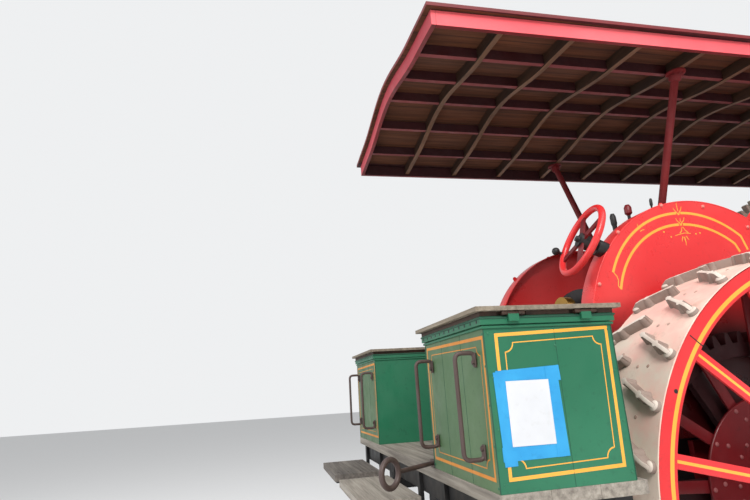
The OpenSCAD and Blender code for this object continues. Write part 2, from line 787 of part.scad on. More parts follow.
// Hand levers that stand on a block on the firebox's side
module control_levers() {
    foot_z = 1990;
    // columns: top of the lever, its radius, radius and length of its grip
    levers = [[[-380, -400, 2537], 13, 17, 75], [[-267, -400, 2595], 9, 21, 66], [[-95, -400, 2640], 5, 9, 50]];
    color(black) {
        for (p = levers) {
            foot = [p[0][0] * 0.8 - 50, -392, foot_z + 1];
            d = p[0] - foot;
            l = norm(d);
            translate(foot) rotate([0, acos(d[2] / l), atan2(d[1], d[0])]) rotate_extrude()
                polygon([[0, 0], [p[1], 0], [p[1], l - p[3]], [p[2], l - p[3] * 0.8], [p[2], l - p[3] * 0.25],
                    [p[2] * 0.6, l], [0, l]]);
        }
        difference() {
            block(-430, -110, -425, -365, foot_z - 150, foot_z);
            bar_x(-500, 0, 0, boiler_z, firebox_w2 + seat_gap);
        }
    }
}

// Platform, bunkers and hitch

module platform() {
    // columns: rear edge, number of boards, half width
    steps = [[-deck_rear, 3, bunker_y], [-1100, 2, 600], [-790, 2, 480]];
    ends = [-1100, -790, firebox_x0 - 2];
    color(wood) for (k = [0 : 2])
        let (s = steps[k], board = (ends[k] - s[0]) / s[1])
            for (i = [0 : s[1] - 1])
                block(s[0] + i * board + seat_gap, s[0] + (i + 1) * board - seat_gap, -s[2], s[2],
                    deck_z - plank_t, deck_z);
}

beam_h = 95;

module platform_frame() {
    z1 = deck_z - plank_t - seat_gap;
    color(black) {
        for (s = [-1, 1]) block(-deck_rear + 30, firebox_x0 - seat_gap, s * 400 - 35, s * 400 + 35,
            z1 - 2 * beam_h, z1 - beam_h - seat_gap);
        for (x = [-deck_rear + 30, -1210, -900, -560])
            block(x, x + 70, x < -1000 ? -bunker_y + 40 : -470, x < -1000 ? bunker_y - 40 : 470, z1 - beam_h, z1);
        // brackets that hang behind the rear beam and carry the steps
        for (s = [-1, 1]) for (y = [step_y0 - 290, step_y0 + 80, step_y1 - 100]) mirror([0, s < 0 ? 1 : 0, 0]) {
            block(-deck_rear + 12, -deck_rear + 31, y, y + 40, step_z - step_t - 20, z1);
            block(-step_rear + 20, -deck_rear + 13, y, y + 40, step_z - step_t - 20, step_z - step_t - seat_gap);
        }
        // bar with a ring on its end, bolted down between the bunkers
        block(-deck_rear + 5, -deck_rear + 75, ring_y, ring_y + 64, deck_z + seat_gap, deck_z + 30);
        rod(ring_foot, ring_c + 54 * [cos(ring_turn), sin(ring_turn), 0], 10);
        translate(ring_c) rotate([90, 0, ring_turn]) rotate([0, 0, 130]) rotate_extrude()
            translate([54, 0]) rotate(90) circle(r = 12, $fn = 24);
    }
}

step_t = 40;
step_y0 = 530;
step_y1 = 1160;
ring_y = -bunker_y + bunker_w + 4;
ring_foot = [-deck_rear + 40, ring_y + 50, deck_z + 18];
ring_c = [-1890, -726, deck_z + 18];
ring_turn = atan2(ring_foot[1] - ring_c[1], ring_foot[0] - ring_c[0]);

module rear_steps() {
    boards = 2;
    board_w = (step_rear - deck_rear - 4) / boards;
    gap = 185;
    color(wood) for (ends = [[-step_y1, -step_y0], [gap - step_y0, step_y0 - gap], [step_y0, step_y1]])
        for (i = [0 : boards - 1])
            let (x = -step_rear + i * board_w)
                block(x + seat_gap, x + board_w - seat_gap, ends[0], ends[1], step_z - step_t, step_z);
}

module bunker() {
    x0 = -deck_rear + 5;
    y0 = bunker_y - bunker_w;
    z0 = deck_z + seat_gap;
    color(green) difference() {
        union() {
            block(x0, x0 + bunker_l, y0, bunker_y, z0, deck_z + bunker_h);
            block(x0 - 12, x0 + bunker_l + 12, y0 - 12, bunker_y + 12, deck_z + bunker_h - 0.5, lid_z);
        }
        block(x0 + bunker_t, x0 + bunker_l - bunker_t, y0 + bunker_t, bunker_y - bunker_t, z0 + bunker_t,
            lid_z + 10);
    }
    color(iron) for (x = [x0 + 90, x0 + bunker_l - 130]) difference() {
        union() {
            bar_x(x, x + 40, hinge_y, hinge_z, 7);
            block(x, x + 40, bunker_y + 11.5, hinge_y + 6, lid_z - 20, hinge_z - 3);
        }
        bar_x(x - 1, x + 41, hinge_y, hinge_z, 3 + run_gap);
    }
}

// The lid turns about a pin just outside the cornice, in the gap under its overhang
hinge_y = bunker_y + 21;
hinge_z = lid_z + 9;

module lid() {
    x0 = -deck_rear + 5;
    y0 = bunker_y - bunker_w;
    color(wood) {
        block(x0 - lid_over, x0 + bunker_l + lid_over, y0 - lid_over, bunker_y + lid_over,
            lid_z + batten_t + seat_gap, lid_z + batten_t + lid_t);
        for (y = [y0, bunker_y - 60])
            block(x0, x0 + bunker_l, y, y + 60, lid_z + seat_gap, lid_z + batten_t + 1);
        for (x = [x0 + 90, x0 + bunker_l - 130]) {
            bar_x(x - 24, x + 64, hinge_y, hinge_z, 3);
            for (k = [-24, 41]) {
                bar_x(x + k, x + k + 23, hinge_y, hinge_z, 7);
                block(x + k, x + k + 23, hinge_y - 6, hinge_y + 6, hinge_z, lid_z + batten_t + 1);
            }
        }
    }
}

// Two bent handrails on the rear face of each bunker, each held by two flattened feet
module grab_rails() {
    x0 = -deck_rear + 5 - seat_gap;
    bar_r = 11;
    reach = 80;
    top = 1732;
    low = 1372;
    color(iron) for (s = [-1, 1]) for (y = [660, 1149]) {
        rod([x0 - reach, s * y, low], [x0 - reach, s * y, top], bar_r);
        for (z = [low, top]) {
            translate([x0 - reach, s * y, z]) sphere(r = bar_r, $fn = 32);
            bar_x(x0 - reach, x0 - 6, s * y, z, bar_r);
        }
        for (z = [low - 11, top - 49]) block(x0 - 12, x0, s * y - 15, s * y + 15, z, z + 60);
    }
}

module hitch() {
    z0 = 940;
    color(black) difference() {
        union() {
            block(-hitch_x, firebox_x0 - seat_gap, -60, 60, z0, z0 + 50);
            translate([-hitch_x, 0, z0]) cylinder(r = hitch_eye_r, h = 50);
            for (s = [-1, 1]) block(-deck_rear + 40, -deck_rear + 60, s * 400 - 30, s * 400 + 30, z0 + 10,
                deck_z - plank_t - 2 * beam_h - 2 * seat_gap);
            block(-deck_rear + 40, -deck_rear + 100, -430, 430, z0 + 5, z0 + 45);
        }
        translate([-hitch_x, 0, z0 - 1]) cylinder(r = hitch_pin_r, h = 60);
    }
}

// Canopy

arch_w2 = 620;
board_t = 22;
// gap under the boards, whose curve is made of short flats
roof_gap = 1;
rib_low = 92;
rib_w = 32;
first_rib = 366;
rib_count = floor((canopy_front + canopy_rear - first_rib - 50) / rib_pitch);
fascia_t = 24;

function roof_z(y) = let (a = abs(y), e = min(a, canopy_w2) / canopy_w2)
    fascia_z + fascia_h + roof_rise * (1 - e * e) + arch_rise * (1 + cos(180 * min(a, arch_w2) / arch_w2)) / 2;
function rib_x(i) = -canopy_rear + first_rib + i * rib_pitch;

// Strip that follows the roof's curve, from low to high below its top face
module arch2d(low, high, w2 = canopy_w2) {
    ys = [for (k = [-12 : 12]) w2 * k / 12];
    polygon(concat([for (y = ys) [y, roof_z(y) + high]], [for (k = [24 : -1 : 0]) [ys[k], roof_z(ys[k]) + low]]));
}

module along_x(x0, x1) {
    translate([x0, 0, 0]) rotate([90, 0, 90]) linear_extrude(x1 - x0) children();
}

module canopy_roof() {
    color(wood) along_x(-canopy_rear - drip_w, canopy_front + drip_w) arch2d(-board_t, 0, canopy_w2 + drip_w);
}

// The fascia all round and the beams that run lengthwise between its ends
module canopy_fascia() {
    beam_w2 = 14;
    beam_d = 60;
    color(red) {
        for (x = [-canopy_rear, canopy_front - fascia_t])
            along_x(x, x + fascia_t) arch2d(-fascia_h, -board_t - roof_gap);
        for (s = [-1, 1])
            block(-canopy_rear + fascia_t + seat_gap, canopy_front - fascia_t - seat_gap,
                s > 0 ? canopy_w2 - fascia_t : -canopy_w2, s > 0 ? canopy_w2 : -canopy_w2 + fascia_t,
                fascia_z, fascia_z + fascia_h - board_t - 1);
        difference() {
            for (k = [-2 : 2])
                let (y = k * canopy_w2 / 3, top = roof_z(abs(y) + beam_w2) - board_t - roof_gap)
                    block(-canopy_rear + fascia_t + seat_gap, canopy_front - fascia_t - seat_gap,
                        y - beam_w2, y + beam_w2, top - beam_d, top);
            for (i = [0 : rib_count])
                block(rib_x(i) - seat_gap, rib_x(i) + rib_w + seat_gap, -canopy_w2, canopy_w2, 3000, 4000);
        }
    }
}

module canopy_ribs() {
    rib_w2 = canopy_w2 - fascia_t - seat_gap;
    color(wood)
        for (i = [0 : rib_count]) along_x(rib_x(i), rib_x(i) + rib_w) arch2d(-rib_low, -board_t - roof_gap, rib_w2);
}

// The rear posts carry a rib on a bolted flange, and the front ones are bolted to the fascia
module canopy_posts() {
    post_r = 22;
    foot_y = 150;
    top_y = 672;
    flange_r = 54;
    flange_t = 10;
    rib_z = roof_z(top_y + flange_r) - rib_low - seat_gap;
    // columns: place along the engine, height of the post's top
    posts = [[rib_x(3) + rib_w / 2, rib_z - flange_t / 2],
        [canopy_front - fascia_t - post_r - seat_gap, roof_z(top_y) - board_t - 20]];
    color(dark_red) for (s = [-1, 1]) {
        for (p = posts) difference() {
            rod([p[0], s * (foot_y - 40), boiler_z + 300], [p[0], s * top_y, p[1]], post_r);
            bar_x(p[0] - 100, p[0] + 100, 0, boiler_z, (p[0] < firebox_x1 ? firebox_w2 : barrel_r) + seat_gap);
            block(p[0] - 100, p[0] + 100, -canopy_w2, canopy_w2, p[1], p[1] + 100);
        }
        translate([posts[0][0], s * top_y, rib_z - flange_t]) cylinder(r = flange_r, h = flange_t);
    }
}

engine() boiler();
engine() smokebox();
engine() smokebox_door();
engine() chimney();
engine() steam_dome();
engine() backhead_fittings();
engine() fire_door();
engine() rear_axle();
engine(RIGHT) gear_guard();  // gear_guard_right
engine(LEFT) gear_guard();  // gear_guard_left
engine() countershaft();
engine(RIGHT) pinion();  // pinion_right
engine(LEFT) pinion();  // pinion_left
engine(RIGHT) rear_rim();  // rear_rim_right
engine(LEFT) rear_rim();  // rear_rim_left
engine(RIGHT) rear_hub();  // rear_hub_right
engine(LEFT) rear_hub();  // rear_hub_left
engine(RIGHT) bull_gear();  // bull_gear_right
engine(LEFT) bull_gear();  // bull_gear_left
engine() front_pedestal();
engine() front_axle();
engine(RIGHT) front_wheel();  // front_wheel_right
engine(LEFT) front_wheel();  // front_wheel_left
engine() steering_chains();
engine() steering_roller();
engine() steering_brackets();
engine() handwheel();
engine() engine_frame();
engine() intermediate_gear();
engine() cylinder_block();  // cylinder
engine() connecting_rod();
engine() crankshaft();
engine() flywheel();
engine() control_levers();
engine() platform();
engine() platform_frame();
engine() rear_steps();
engine(RIGHT) bunker();  // bunker_right
engine(LEFT) bunker();  // bunker_left
engine(RIGHT) lid();  // lid_right
engine(LEFT) lid();  // lid_left
engine() grab_rails();
engine() hitch();
engine() canopy_roof();
engine() canopy_fascia();
engine() canopy_ribs();
engine() canopy_posts();
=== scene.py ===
# Looks of a steam traction engine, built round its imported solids.
# Sizes are in metres, and angles in degrees where no note says radians. Places along the engine are
# measured from the rear axle, which is originX behind the part's own origin.
import bpy
import math
from mathutils import Matrix, Vector


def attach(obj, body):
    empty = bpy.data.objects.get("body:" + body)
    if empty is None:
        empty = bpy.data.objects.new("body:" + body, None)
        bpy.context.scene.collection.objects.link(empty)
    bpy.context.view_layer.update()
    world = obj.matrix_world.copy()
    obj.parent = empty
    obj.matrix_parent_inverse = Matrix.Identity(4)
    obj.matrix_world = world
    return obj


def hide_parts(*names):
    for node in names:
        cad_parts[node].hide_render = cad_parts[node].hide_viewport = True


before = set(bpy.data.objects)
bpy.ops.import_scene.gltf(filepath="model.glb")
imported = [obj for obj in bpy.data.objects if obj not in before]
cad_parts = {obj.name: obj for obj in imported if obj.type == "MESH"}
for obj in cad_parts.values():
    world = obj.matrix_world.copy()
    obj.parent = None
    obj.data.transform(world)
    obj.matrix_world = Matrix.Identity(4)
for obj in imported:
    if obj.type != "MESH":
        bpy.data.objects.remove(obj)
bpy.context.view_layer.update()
print("frame loaded")

originX = 0.725
seatGap = 0.0003  # a painted line's middle is this far off its sheet
flatShare = 0.06  # a painted line's thickness for its width
bendSteps = 5  # straight bits in a bar's rounded corner
domeShape = ((1, 0), (0.92, 0.45), (0.6, 0.85), (0.16, 1))  # shares of a rivet head's radius and height


# Tools used by every piece

def place(x, y, z):
    return Vector((x - originX, y, z))


def clearSelection():
    if bpy.context.object and bpy.context.object.mode != "OBJECT":
        bpy.ops.object.mode_set(mode="OBJECT")
    bpy.ops.object.select_all(action="DESELECT")


def pick(obj):
    clearSelection()
    obj.select_set(True)
    bpy.context.view_layer.objects.active = obj


def settle(obj):  # the place, turn and size go into the mesh
    pick(obj)
    bpy.ops.object.transform_apply(location=True, rotation=True, scale=True)
    return obj


def editing(obj):  # edit mode, with everything selected
    pick(obj)
    bpy.ops.object.mode_set(mode="EDIT")
    bpy.ops.mesh.select_all(action="SELECT")


def backToObject():
    bpy.ops.object.mode_set(mode="OBJECT")


def choosing(obj, test):  # edit mode, with only the corners selected whose place passes the test
    editing(obj)
    bpy.ops.mesh.select_mode(type="VERT")
    bpy.ops.mesh.select_all(action="DESELECT")
    backToObject()
    for vert in obj.data.vertices:
        vert.select = test(vert.co)
    bpy.ops.object.mode_set(mode="EDIT")


def box(name, low, high):
    clearSelection()
    low, high = Vector(low), Vector(high)
    bpy.ops.mesh.primitive_cube_add(size=1, location=(low + high) / 2)
    obj = bpy.context.object
    obj.name = name
    obj.scale = high - low
    return settle(obj)


def softEdges(obj, width, segments, angle=40):
    pick(obj)
    bevel = obj.modifiers.new("softEdges", "BEVEL")
    bevel.width = width
    bevel.segments = segments
    bevel.limit_method = "ANGLE"
    bevel.angle_limit = math.radians(angle)
    bevel.miter_outer = "MITER_ARC"
    bevel.use_clamp_overlap = True
    bpy.ops.object.modifier_apply(modifier=bevel.name)
    return obj


def outward(obj):
    editing(obj)
    bpy.ops.mesh.remove_doubles(threshold=0.00002)
    bpy.ops.mesh.normals_make_consistent(inside=False)
    backToObject()
    return obj


def turned(name, rows, axis="Z", centre=(0, 0, 0), sides=48, loop=False):
    # a lathe shape: rows of (radius, height), one ring extruded from row to row
    rows = list(rows)
    clearSelection()
    bpy.ops.mesh.primitive_circle_add(vertices=sides, radius=rows[0][0], location=(0, 0, rows[0][1]))
    obj = bpy.context.object
    obj.name = name
    settle(obj)
    editing(obj)
    if not loop:
        bpy.ops.mesh.edge_face_add()
    for (r0, z0), (r1, z1) in zip(rows, rows[1:] + (rows[:1] if loop else [])):
        bpy.ops.mesh.extrude_region_move(TRANSFORM_OT_translate={"value": (0, 0, z1 - z0)})
        if abs(r1 - r0) > 1e-7:
            bpy.ops.transform.resize(value=(r1 / r0, r1 / r0, 1), center_override=(0, 0, z1))
    backToObject()
    outward(obj)
    if axis == "Y":
        obj.rotation_euler = (-math.pi / 2, 0, 0)
    if axis == "X":
        obj.rotation_euler = (0, math.pi / 2, 0)
    obj.location = centre
    return settle(obj)


def copied(source, matrix):
    clearSelection()
    obj = source.copy()
    obj.data = source.data.copy()
    bpy.context.scene.collection.objects.link(obj)
    obj.data.transform(matrix)
    return obj


def joined(name, parts):
    clearSelection()
    for part in parts:
        part.select_set(True)
    bpy.context.view_layer.objects.active = parts[0]
    if len(parts) > 1:
        bpy.ops.object.join()
    obj = bpy.context.object
    obj.name = name
    obj.data.name = name
    return obj


def repeated(name, source, matrices):  # one copy for each matrix, and the source goes
    parts = [copied(source, matrix) for matrix in matrices]
    bpy.data.objects.remove(source)
    return joined(name, parts)


def mirrored(source, name):
    obj = copied(source, Matrix.Scale(-1, 4, (0, 1, 0)))
    obj.name = name
    editing(obj)
    bpy.ops.mesh.flip_normals()
    backToObject()
    return obj


def bentLine(points, corner, cyclic):  # a bar's middle line, with rounded corners
    line = []
    for k, p in enumerate(points):
        isEnd = not cyclic and k in (0, len(points) - 1)
        if isEnd or corner <= 0:
            line.append(p)
            continue
        before, after = points[k - 1] - p, points[(k + 1) % len(points)] - p
        cut = min(corner, before.length * 0.49, after.length * 0.49)
        first, last = p + before.normalized() * cut, p + after.normalized() * cut
        for j in range(bendSteps + 1):
            t = j / bendSteps
            line.append((1 - t) ** 2 * first + 2 * t * (1 - t) * p + t * t * last)
    return line


def tube(name, points, radius, corner=0.0, sides=8, flatAxis=None, cyclic=False, taper=(1.0, 1.0)):
    # a bent bar, or with flatAxis a painted line that is flat along that axis
    line = bentLine([Vector(p) for p in points], corner, cyclic)
    curve = bpy.data.curves.new(name, "CURVE")
    curve.dimensions = "3D"
    spline = curve.splines.new("POLY")
    spline.points.add(len(line) - 1)
    for k, (point, p) in enumerate(zip(spline.points, line)):
        point.co = (*p, 1)
        point.radius = taper[0] + (taper[1] - taper[0]) * k / max(1, len(line) - 1)
    spline.use_cyclic_u = cyclic
    curve.bevel_depth = radius
    curve.bevel_resolution = max(0, sides - 4)
    curve.use_fill_caps = not cyclic
    obj = bpy.data.objects.new(name, curve)
    bpy.context.scene.collection.objects.link(obj)
    pick(obj)
    bpy.ops.object.convert(target="MESH")
    obj = bpy.context.object
    if flatAxis is not None:
        editing(obj)
        share = tuple(flatShare if k == flatAxis else 1 for k in range(3))
        bpy.ops.transform.resize(value=share, center_override=line[0])
        backToObject()
    return outward(obj)


def sliced(obj, axis, places):  # new edge loops where flat planes cross the mesh
    for value in places:
        editing(obj)
        at, normal = [0, 0, 0], [0, 0, 0]
        at[axis], normal[axis] = value, 1
        bpy.ops.mesh.bisect(plane_co=at, plane_no=normal)
        backToObject()
    return obj


def dome(radius, height, sides):  # one rivet head on the Z axis
    return turned("rivet", [(radius * r, height * h) for r, h in domeShape], sides=sides)


def boltHead(radius, height):  # a hexagon on its washer, on the Z axis
    washer = turned("washer", [(radius * 1.25, 0), (radius * 1.25, height * 0.2)], sides=12)
    rows = [(radius, height * 0.2), (radius, height * 0.9), (radius * 0.82, height)]
    return joined("bolt", [washer, turned("head", rows, sides=6)])


def aimed(position, direction, spin=0.0):
    # puts a piece's foot at a place and its Z axis along a direction, turned on that axis by spin radians
    aim = Vector(direction).to_track_quat("Z", "Y").to_matrix().to_4x4()
    return Matrix.Translation(position) @ aim @ Matrix.Rotation(spin, 4, "Z")


def evenTurns(count, first=0.0):  # angles evenly round a circle
    return [first + k * 360 / count for k in range(count)]


def dressed(obj, key):  # one finish all over
    obj.data.materials.clear()
    obj.data.materials.append(finishes[key])
    return obj


def painted(obj, rule):  # rule gives each face's finish from its middle and normal
    keys = [rule(face.center, face.normal) for face in obj.data.polygons]
    kinds = sorted(set(keys))
    obj.data.materials.clear()
    for kind in kinds:
        obj.data.materials.append(finishes[kind])
    for face, key in zip(obj.data.polygons, keys):
        face.material_index = kinds.index(key)
    return obj


def finished(obj, body, replaces=()):
    pick(obj)
    bpy.ops.object.shade_smooth_by_angle(angle=math.radians(35))
    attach(obj, body)
    if replaces:
        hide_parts(*replaces)
    return obj


def bothSides(maker, name, body=None, replaced=None, sides=("right", "left")):
    # made on the first side, mirrored on the second; body and replaced are names without their side
    obj = maker(name + "_" + sides[0])
    for side in sides:
        if side == sides[1]:
            obj = mirrored(obj, name + "_" + side)
        rides = body + "_" + side if body else "root"
        finished(obj, rides, [replaced + "_" + side] if replaced else [])


# Finishes

class Nodes:  # a material, and short ways to add to its nodes
    def __init__(self, name):
        self.material = bpy.data.materials.new(name)
        self.material.use_nodes = True
        self.tree = self.material.node_tree
        self.shader = self.tree.nodes["Principled BSDF"]
        self.coords = self.add("ShaderNodeTexCoord").outputs["Object"]

    def add(self, kind, **values):
        node = self.tree.nodes.new(kind)
        for key, value in values.items():
            if key in node.inputs:
                node.inputs[key].default_value = value
            else:
                setattr(node, key, value)
        return node

    def link(self, a, b):
        self.tree.links.new(a, b)

    def axes(self):  # the place along x, y and z
        node = self.add("ShaderNodeSeparateXYZ")
        self.link(self.coords, node.inputs[0])
        return node.outputs

    def stretched(self, scale):
        mapping = self.add("ShaderNodeMapping", Scale=scale)
        self.link(self.coords, mapping.inputs["Vector"])
        return mapping.outputs[0]

    def noise(self, scale, detail=4.0, rough=0.55, vector=None):
        node = self.add("ShaderNodeTexNoise", Scale=scale, Detail=detail, Roughness=rough)
        self.link(vector or self.coords, node.inputs["Vector"])
        return node.outputs[0]

    def ramp(self, source, low, high, first=0.0, last=1.0):
        node = self.add("ShaderNodeMapRange", clamp=True)
        for key, value in (("From Min", low), ("From Max", high), ("To Min", first), ("To Max", last)):
            node.inputs[key].default_value = value
        self.link(source, node.inputs["Value"])
        return node.outputs[0]

    def mix(self, share, first, second):
        node = self.add("ShaderNodeMix", data_type="RGBA")
        for socket, value in ((node.inputs[6], first), (node.inputs[7], second)):
            if isinstance(value, tuple):
                socket.default_value = (*value, 1)
            else:
                self.link(value, socket)
        self.link(share, node.inputs[0])
        return node.outputs[2]

    def bump(self, height, strength, distance):
        node = self.add("ShaderNodeBump", Strength=strength, Distance=distance)
        self.link(height, node.inputs["Height"])
        self.link(node.outputs[0], self.shader.inputs["Normal"])

    def done(self, colour, shine, least, most, metallic=0.0):  # shine's noise moves the roughness
        self.link(colour, self.shader.inputs["Base Color"])
        self.link(self.ramp(shine, 0.3, 0.7, least, most), self.shader.inputs["Roughness"])
        self.shader.inputs["Metallic"].default_value = metallic
        return self.material


def linear(*chart):  # from the 0-255 numbers of a colour chart
    shares = [value / 255 for value in chart]
    return tuple(c / 12.92 if c <= 0.04045 else ((c + 0.055) / 1.055) ** 2.4 for c in shares)


# In these four a noise is (scale, detail, roughness), a ramp is (noise where it starts, where it is full),
# a bump is (strength, depth), and spread is the least and the most of a finish's roughness.
paintGrain = {
    "patchDetail": 3.0, "patchRamp": (0.38, 0.68), "specks": (38.0, 6.0, 0.65), "speckRamp": (0.56, 0.74),
    "ripple": (70.0, 3.0), "rippleDepth": 0.0006, "shine": (9.0, 4.0), "spread": (0.8, 1.45),
    "shadeShare": 0.94,
}
ironGrain = {
    "rust": (7.0, 6.0, 0.6), "rustRamp": (0.48, 0.68), "pits": (160.0, 4.0, 0.7), "bump": (0.25, 0.0008),
    "shine": (24.0, 5.0), "spread": (0.8, 1.3),
}
timberGrain = {
    "along": 1.6, "across": 38.0, "streaks": (1.0, 8.0, 0.7), "streakRamp": (0.35, 0.68),
    "bump": (0.35, 0.002), "spread": (0.9, 1.15),
    "stainAlong": 0.8, "stainAcross": 5.0, "stains": (1.7, 3.0, 0.5), "stainRamp": (0.4, 0.75),
    "stainShare": 0.45, "stainShade": 0.72,
    "seamRamp": (0.0012, 0.0030), "seamShare": 0.85, "seam": (14, 8, 6),  # this ramp is distance from a joint
}
treadGrain = {
    "patches": (3.2, 5.0, 0.6), "patchRamp": (0.4, 0.62), "pale": (224, 206, 190), "pink": (234, 178, 166),
    "rust": (11.0, 7.0, 0.7), "rustRamp": (0.55, 0.72), "rustShare": 0.7, "brown": (188, 158, 140),
    "dents": (60.0, 6.0, 0.75), "bump": (0.4, 0.0015), "shine": (20.0, 4.0), "spread": (0.6, 0.95),
}


def paint(name, colour, faded, dirt, rough=0.32, dirtShare=0.5, patch=2.2, bump=0.15, paintedShade=None):
    g, n = paintGrain, Nodes(name)
    patches = n.ramp(n.noise(patch, g["patchDetail"]), *g["patchRamp"])
    specks = n.ramp(n.noise(*g["specks"]), *g["speckRamp"], 0.0, dirtShare)
    colours = n.mix(specks, n.mix(patches, linear(*colour), linear(*faded)), linear(*dirt))
    if paintedShade:  # painted shade that darkens from the high place down to the low one
        low, high, shadeColour = paintedShade
        colours = n.mix(n.ramp(n.axes()[2], low, high, g["shadeShare"], 0.0), colours, linear(*shadeColour))
    n.bump(n.noise(*g["ripple"]), bump, g["rippleDepth"])
    return n.done(colours, n.noise(*g["shine"]), *[rough * share for share in g["spread"]])


def iron(name, colour, rust, rough=0.55, rustShare=0.6, metallic=0.35):
    g, n = ironGrain, Nodes(name)
    patches = n.ramp(n.noise(*g["rust"]), *g["rustRamp"], 0.0, rustShare)
    n.bump(n.noise(*g["pits"]), *g["bump"])
    least, most = [min(1.0, rough * share) for share in g["spread"]]
    return n.done(n.mix(patches, linear(*colour), linear(*rust)), n.noise(*g["shine"]), least, most, metallic)


def timber(name, light, dark, along, rough=0.75, seams=None):  # along: the axis that the grain follows
    g, n = timberGrain, Nodes(name)
    fine = n.stretched(tuple(g["along"] if k == along else g["across"] for k in range(3)))
    broad = n.stretched(tuple(g["stainAlong"] if k == along else g["stainAcross"] for k in range(3)))
    streaks = n.noise(*g["streaks"], fine)
    colours = n.mix(n.ramp(streaks, *g["streakRamp"]), linear(*light), linear(*dark))
    stain = n.ramp(n.noise(*g["stains"], broad), *g["stainRamp"], 0.0, g["stainShare"])
    colours = n.mix(stain, colours, linear(*[c * g["stainShade"] for c in dark]))
    if seams:  # dark joints between boards: the axis across them and their pitch
        axis, pitch = seams
        saw = n.add("ShaderNodeMath", operation="PINGPONG")
        n.link(n.axes()[axis], saw.inputs[0])
        saw.inputs[1].default_value = pitch / 2
        joints = n.ramp(saw.outputs[0], *g["seamRamp"], g["seamShare"], 0.0)
        colours = n.mix(joints, colours, linear(*g["seam"]))
    n.bump(streaks, *g["bump"])
    least, most = [min(1.0, rough * share) for share in g["spread"]]
    return n.done(colours, streaks, least, most)


def wornTread():
    g, n = treadGrain, Nodes("wornTread")
    colours = n.mix(n.ramp(n.noise(*g["patches"]), *g["patchRamp"]), linear(*g["pale"]), linear(*g["pink"]))
    rust = n.ramp(n.noise(*g["rust"]), *g["rustRamp"], 0.0, g["rustShare"])
    colours = n.mix(rust, colours, linear(*g["brown"]))
    n.bump(n.noise(*g["dents"]), *g["bump"])
    return n.done(colours, n.noise(*g["shine"]), *g["spread"])


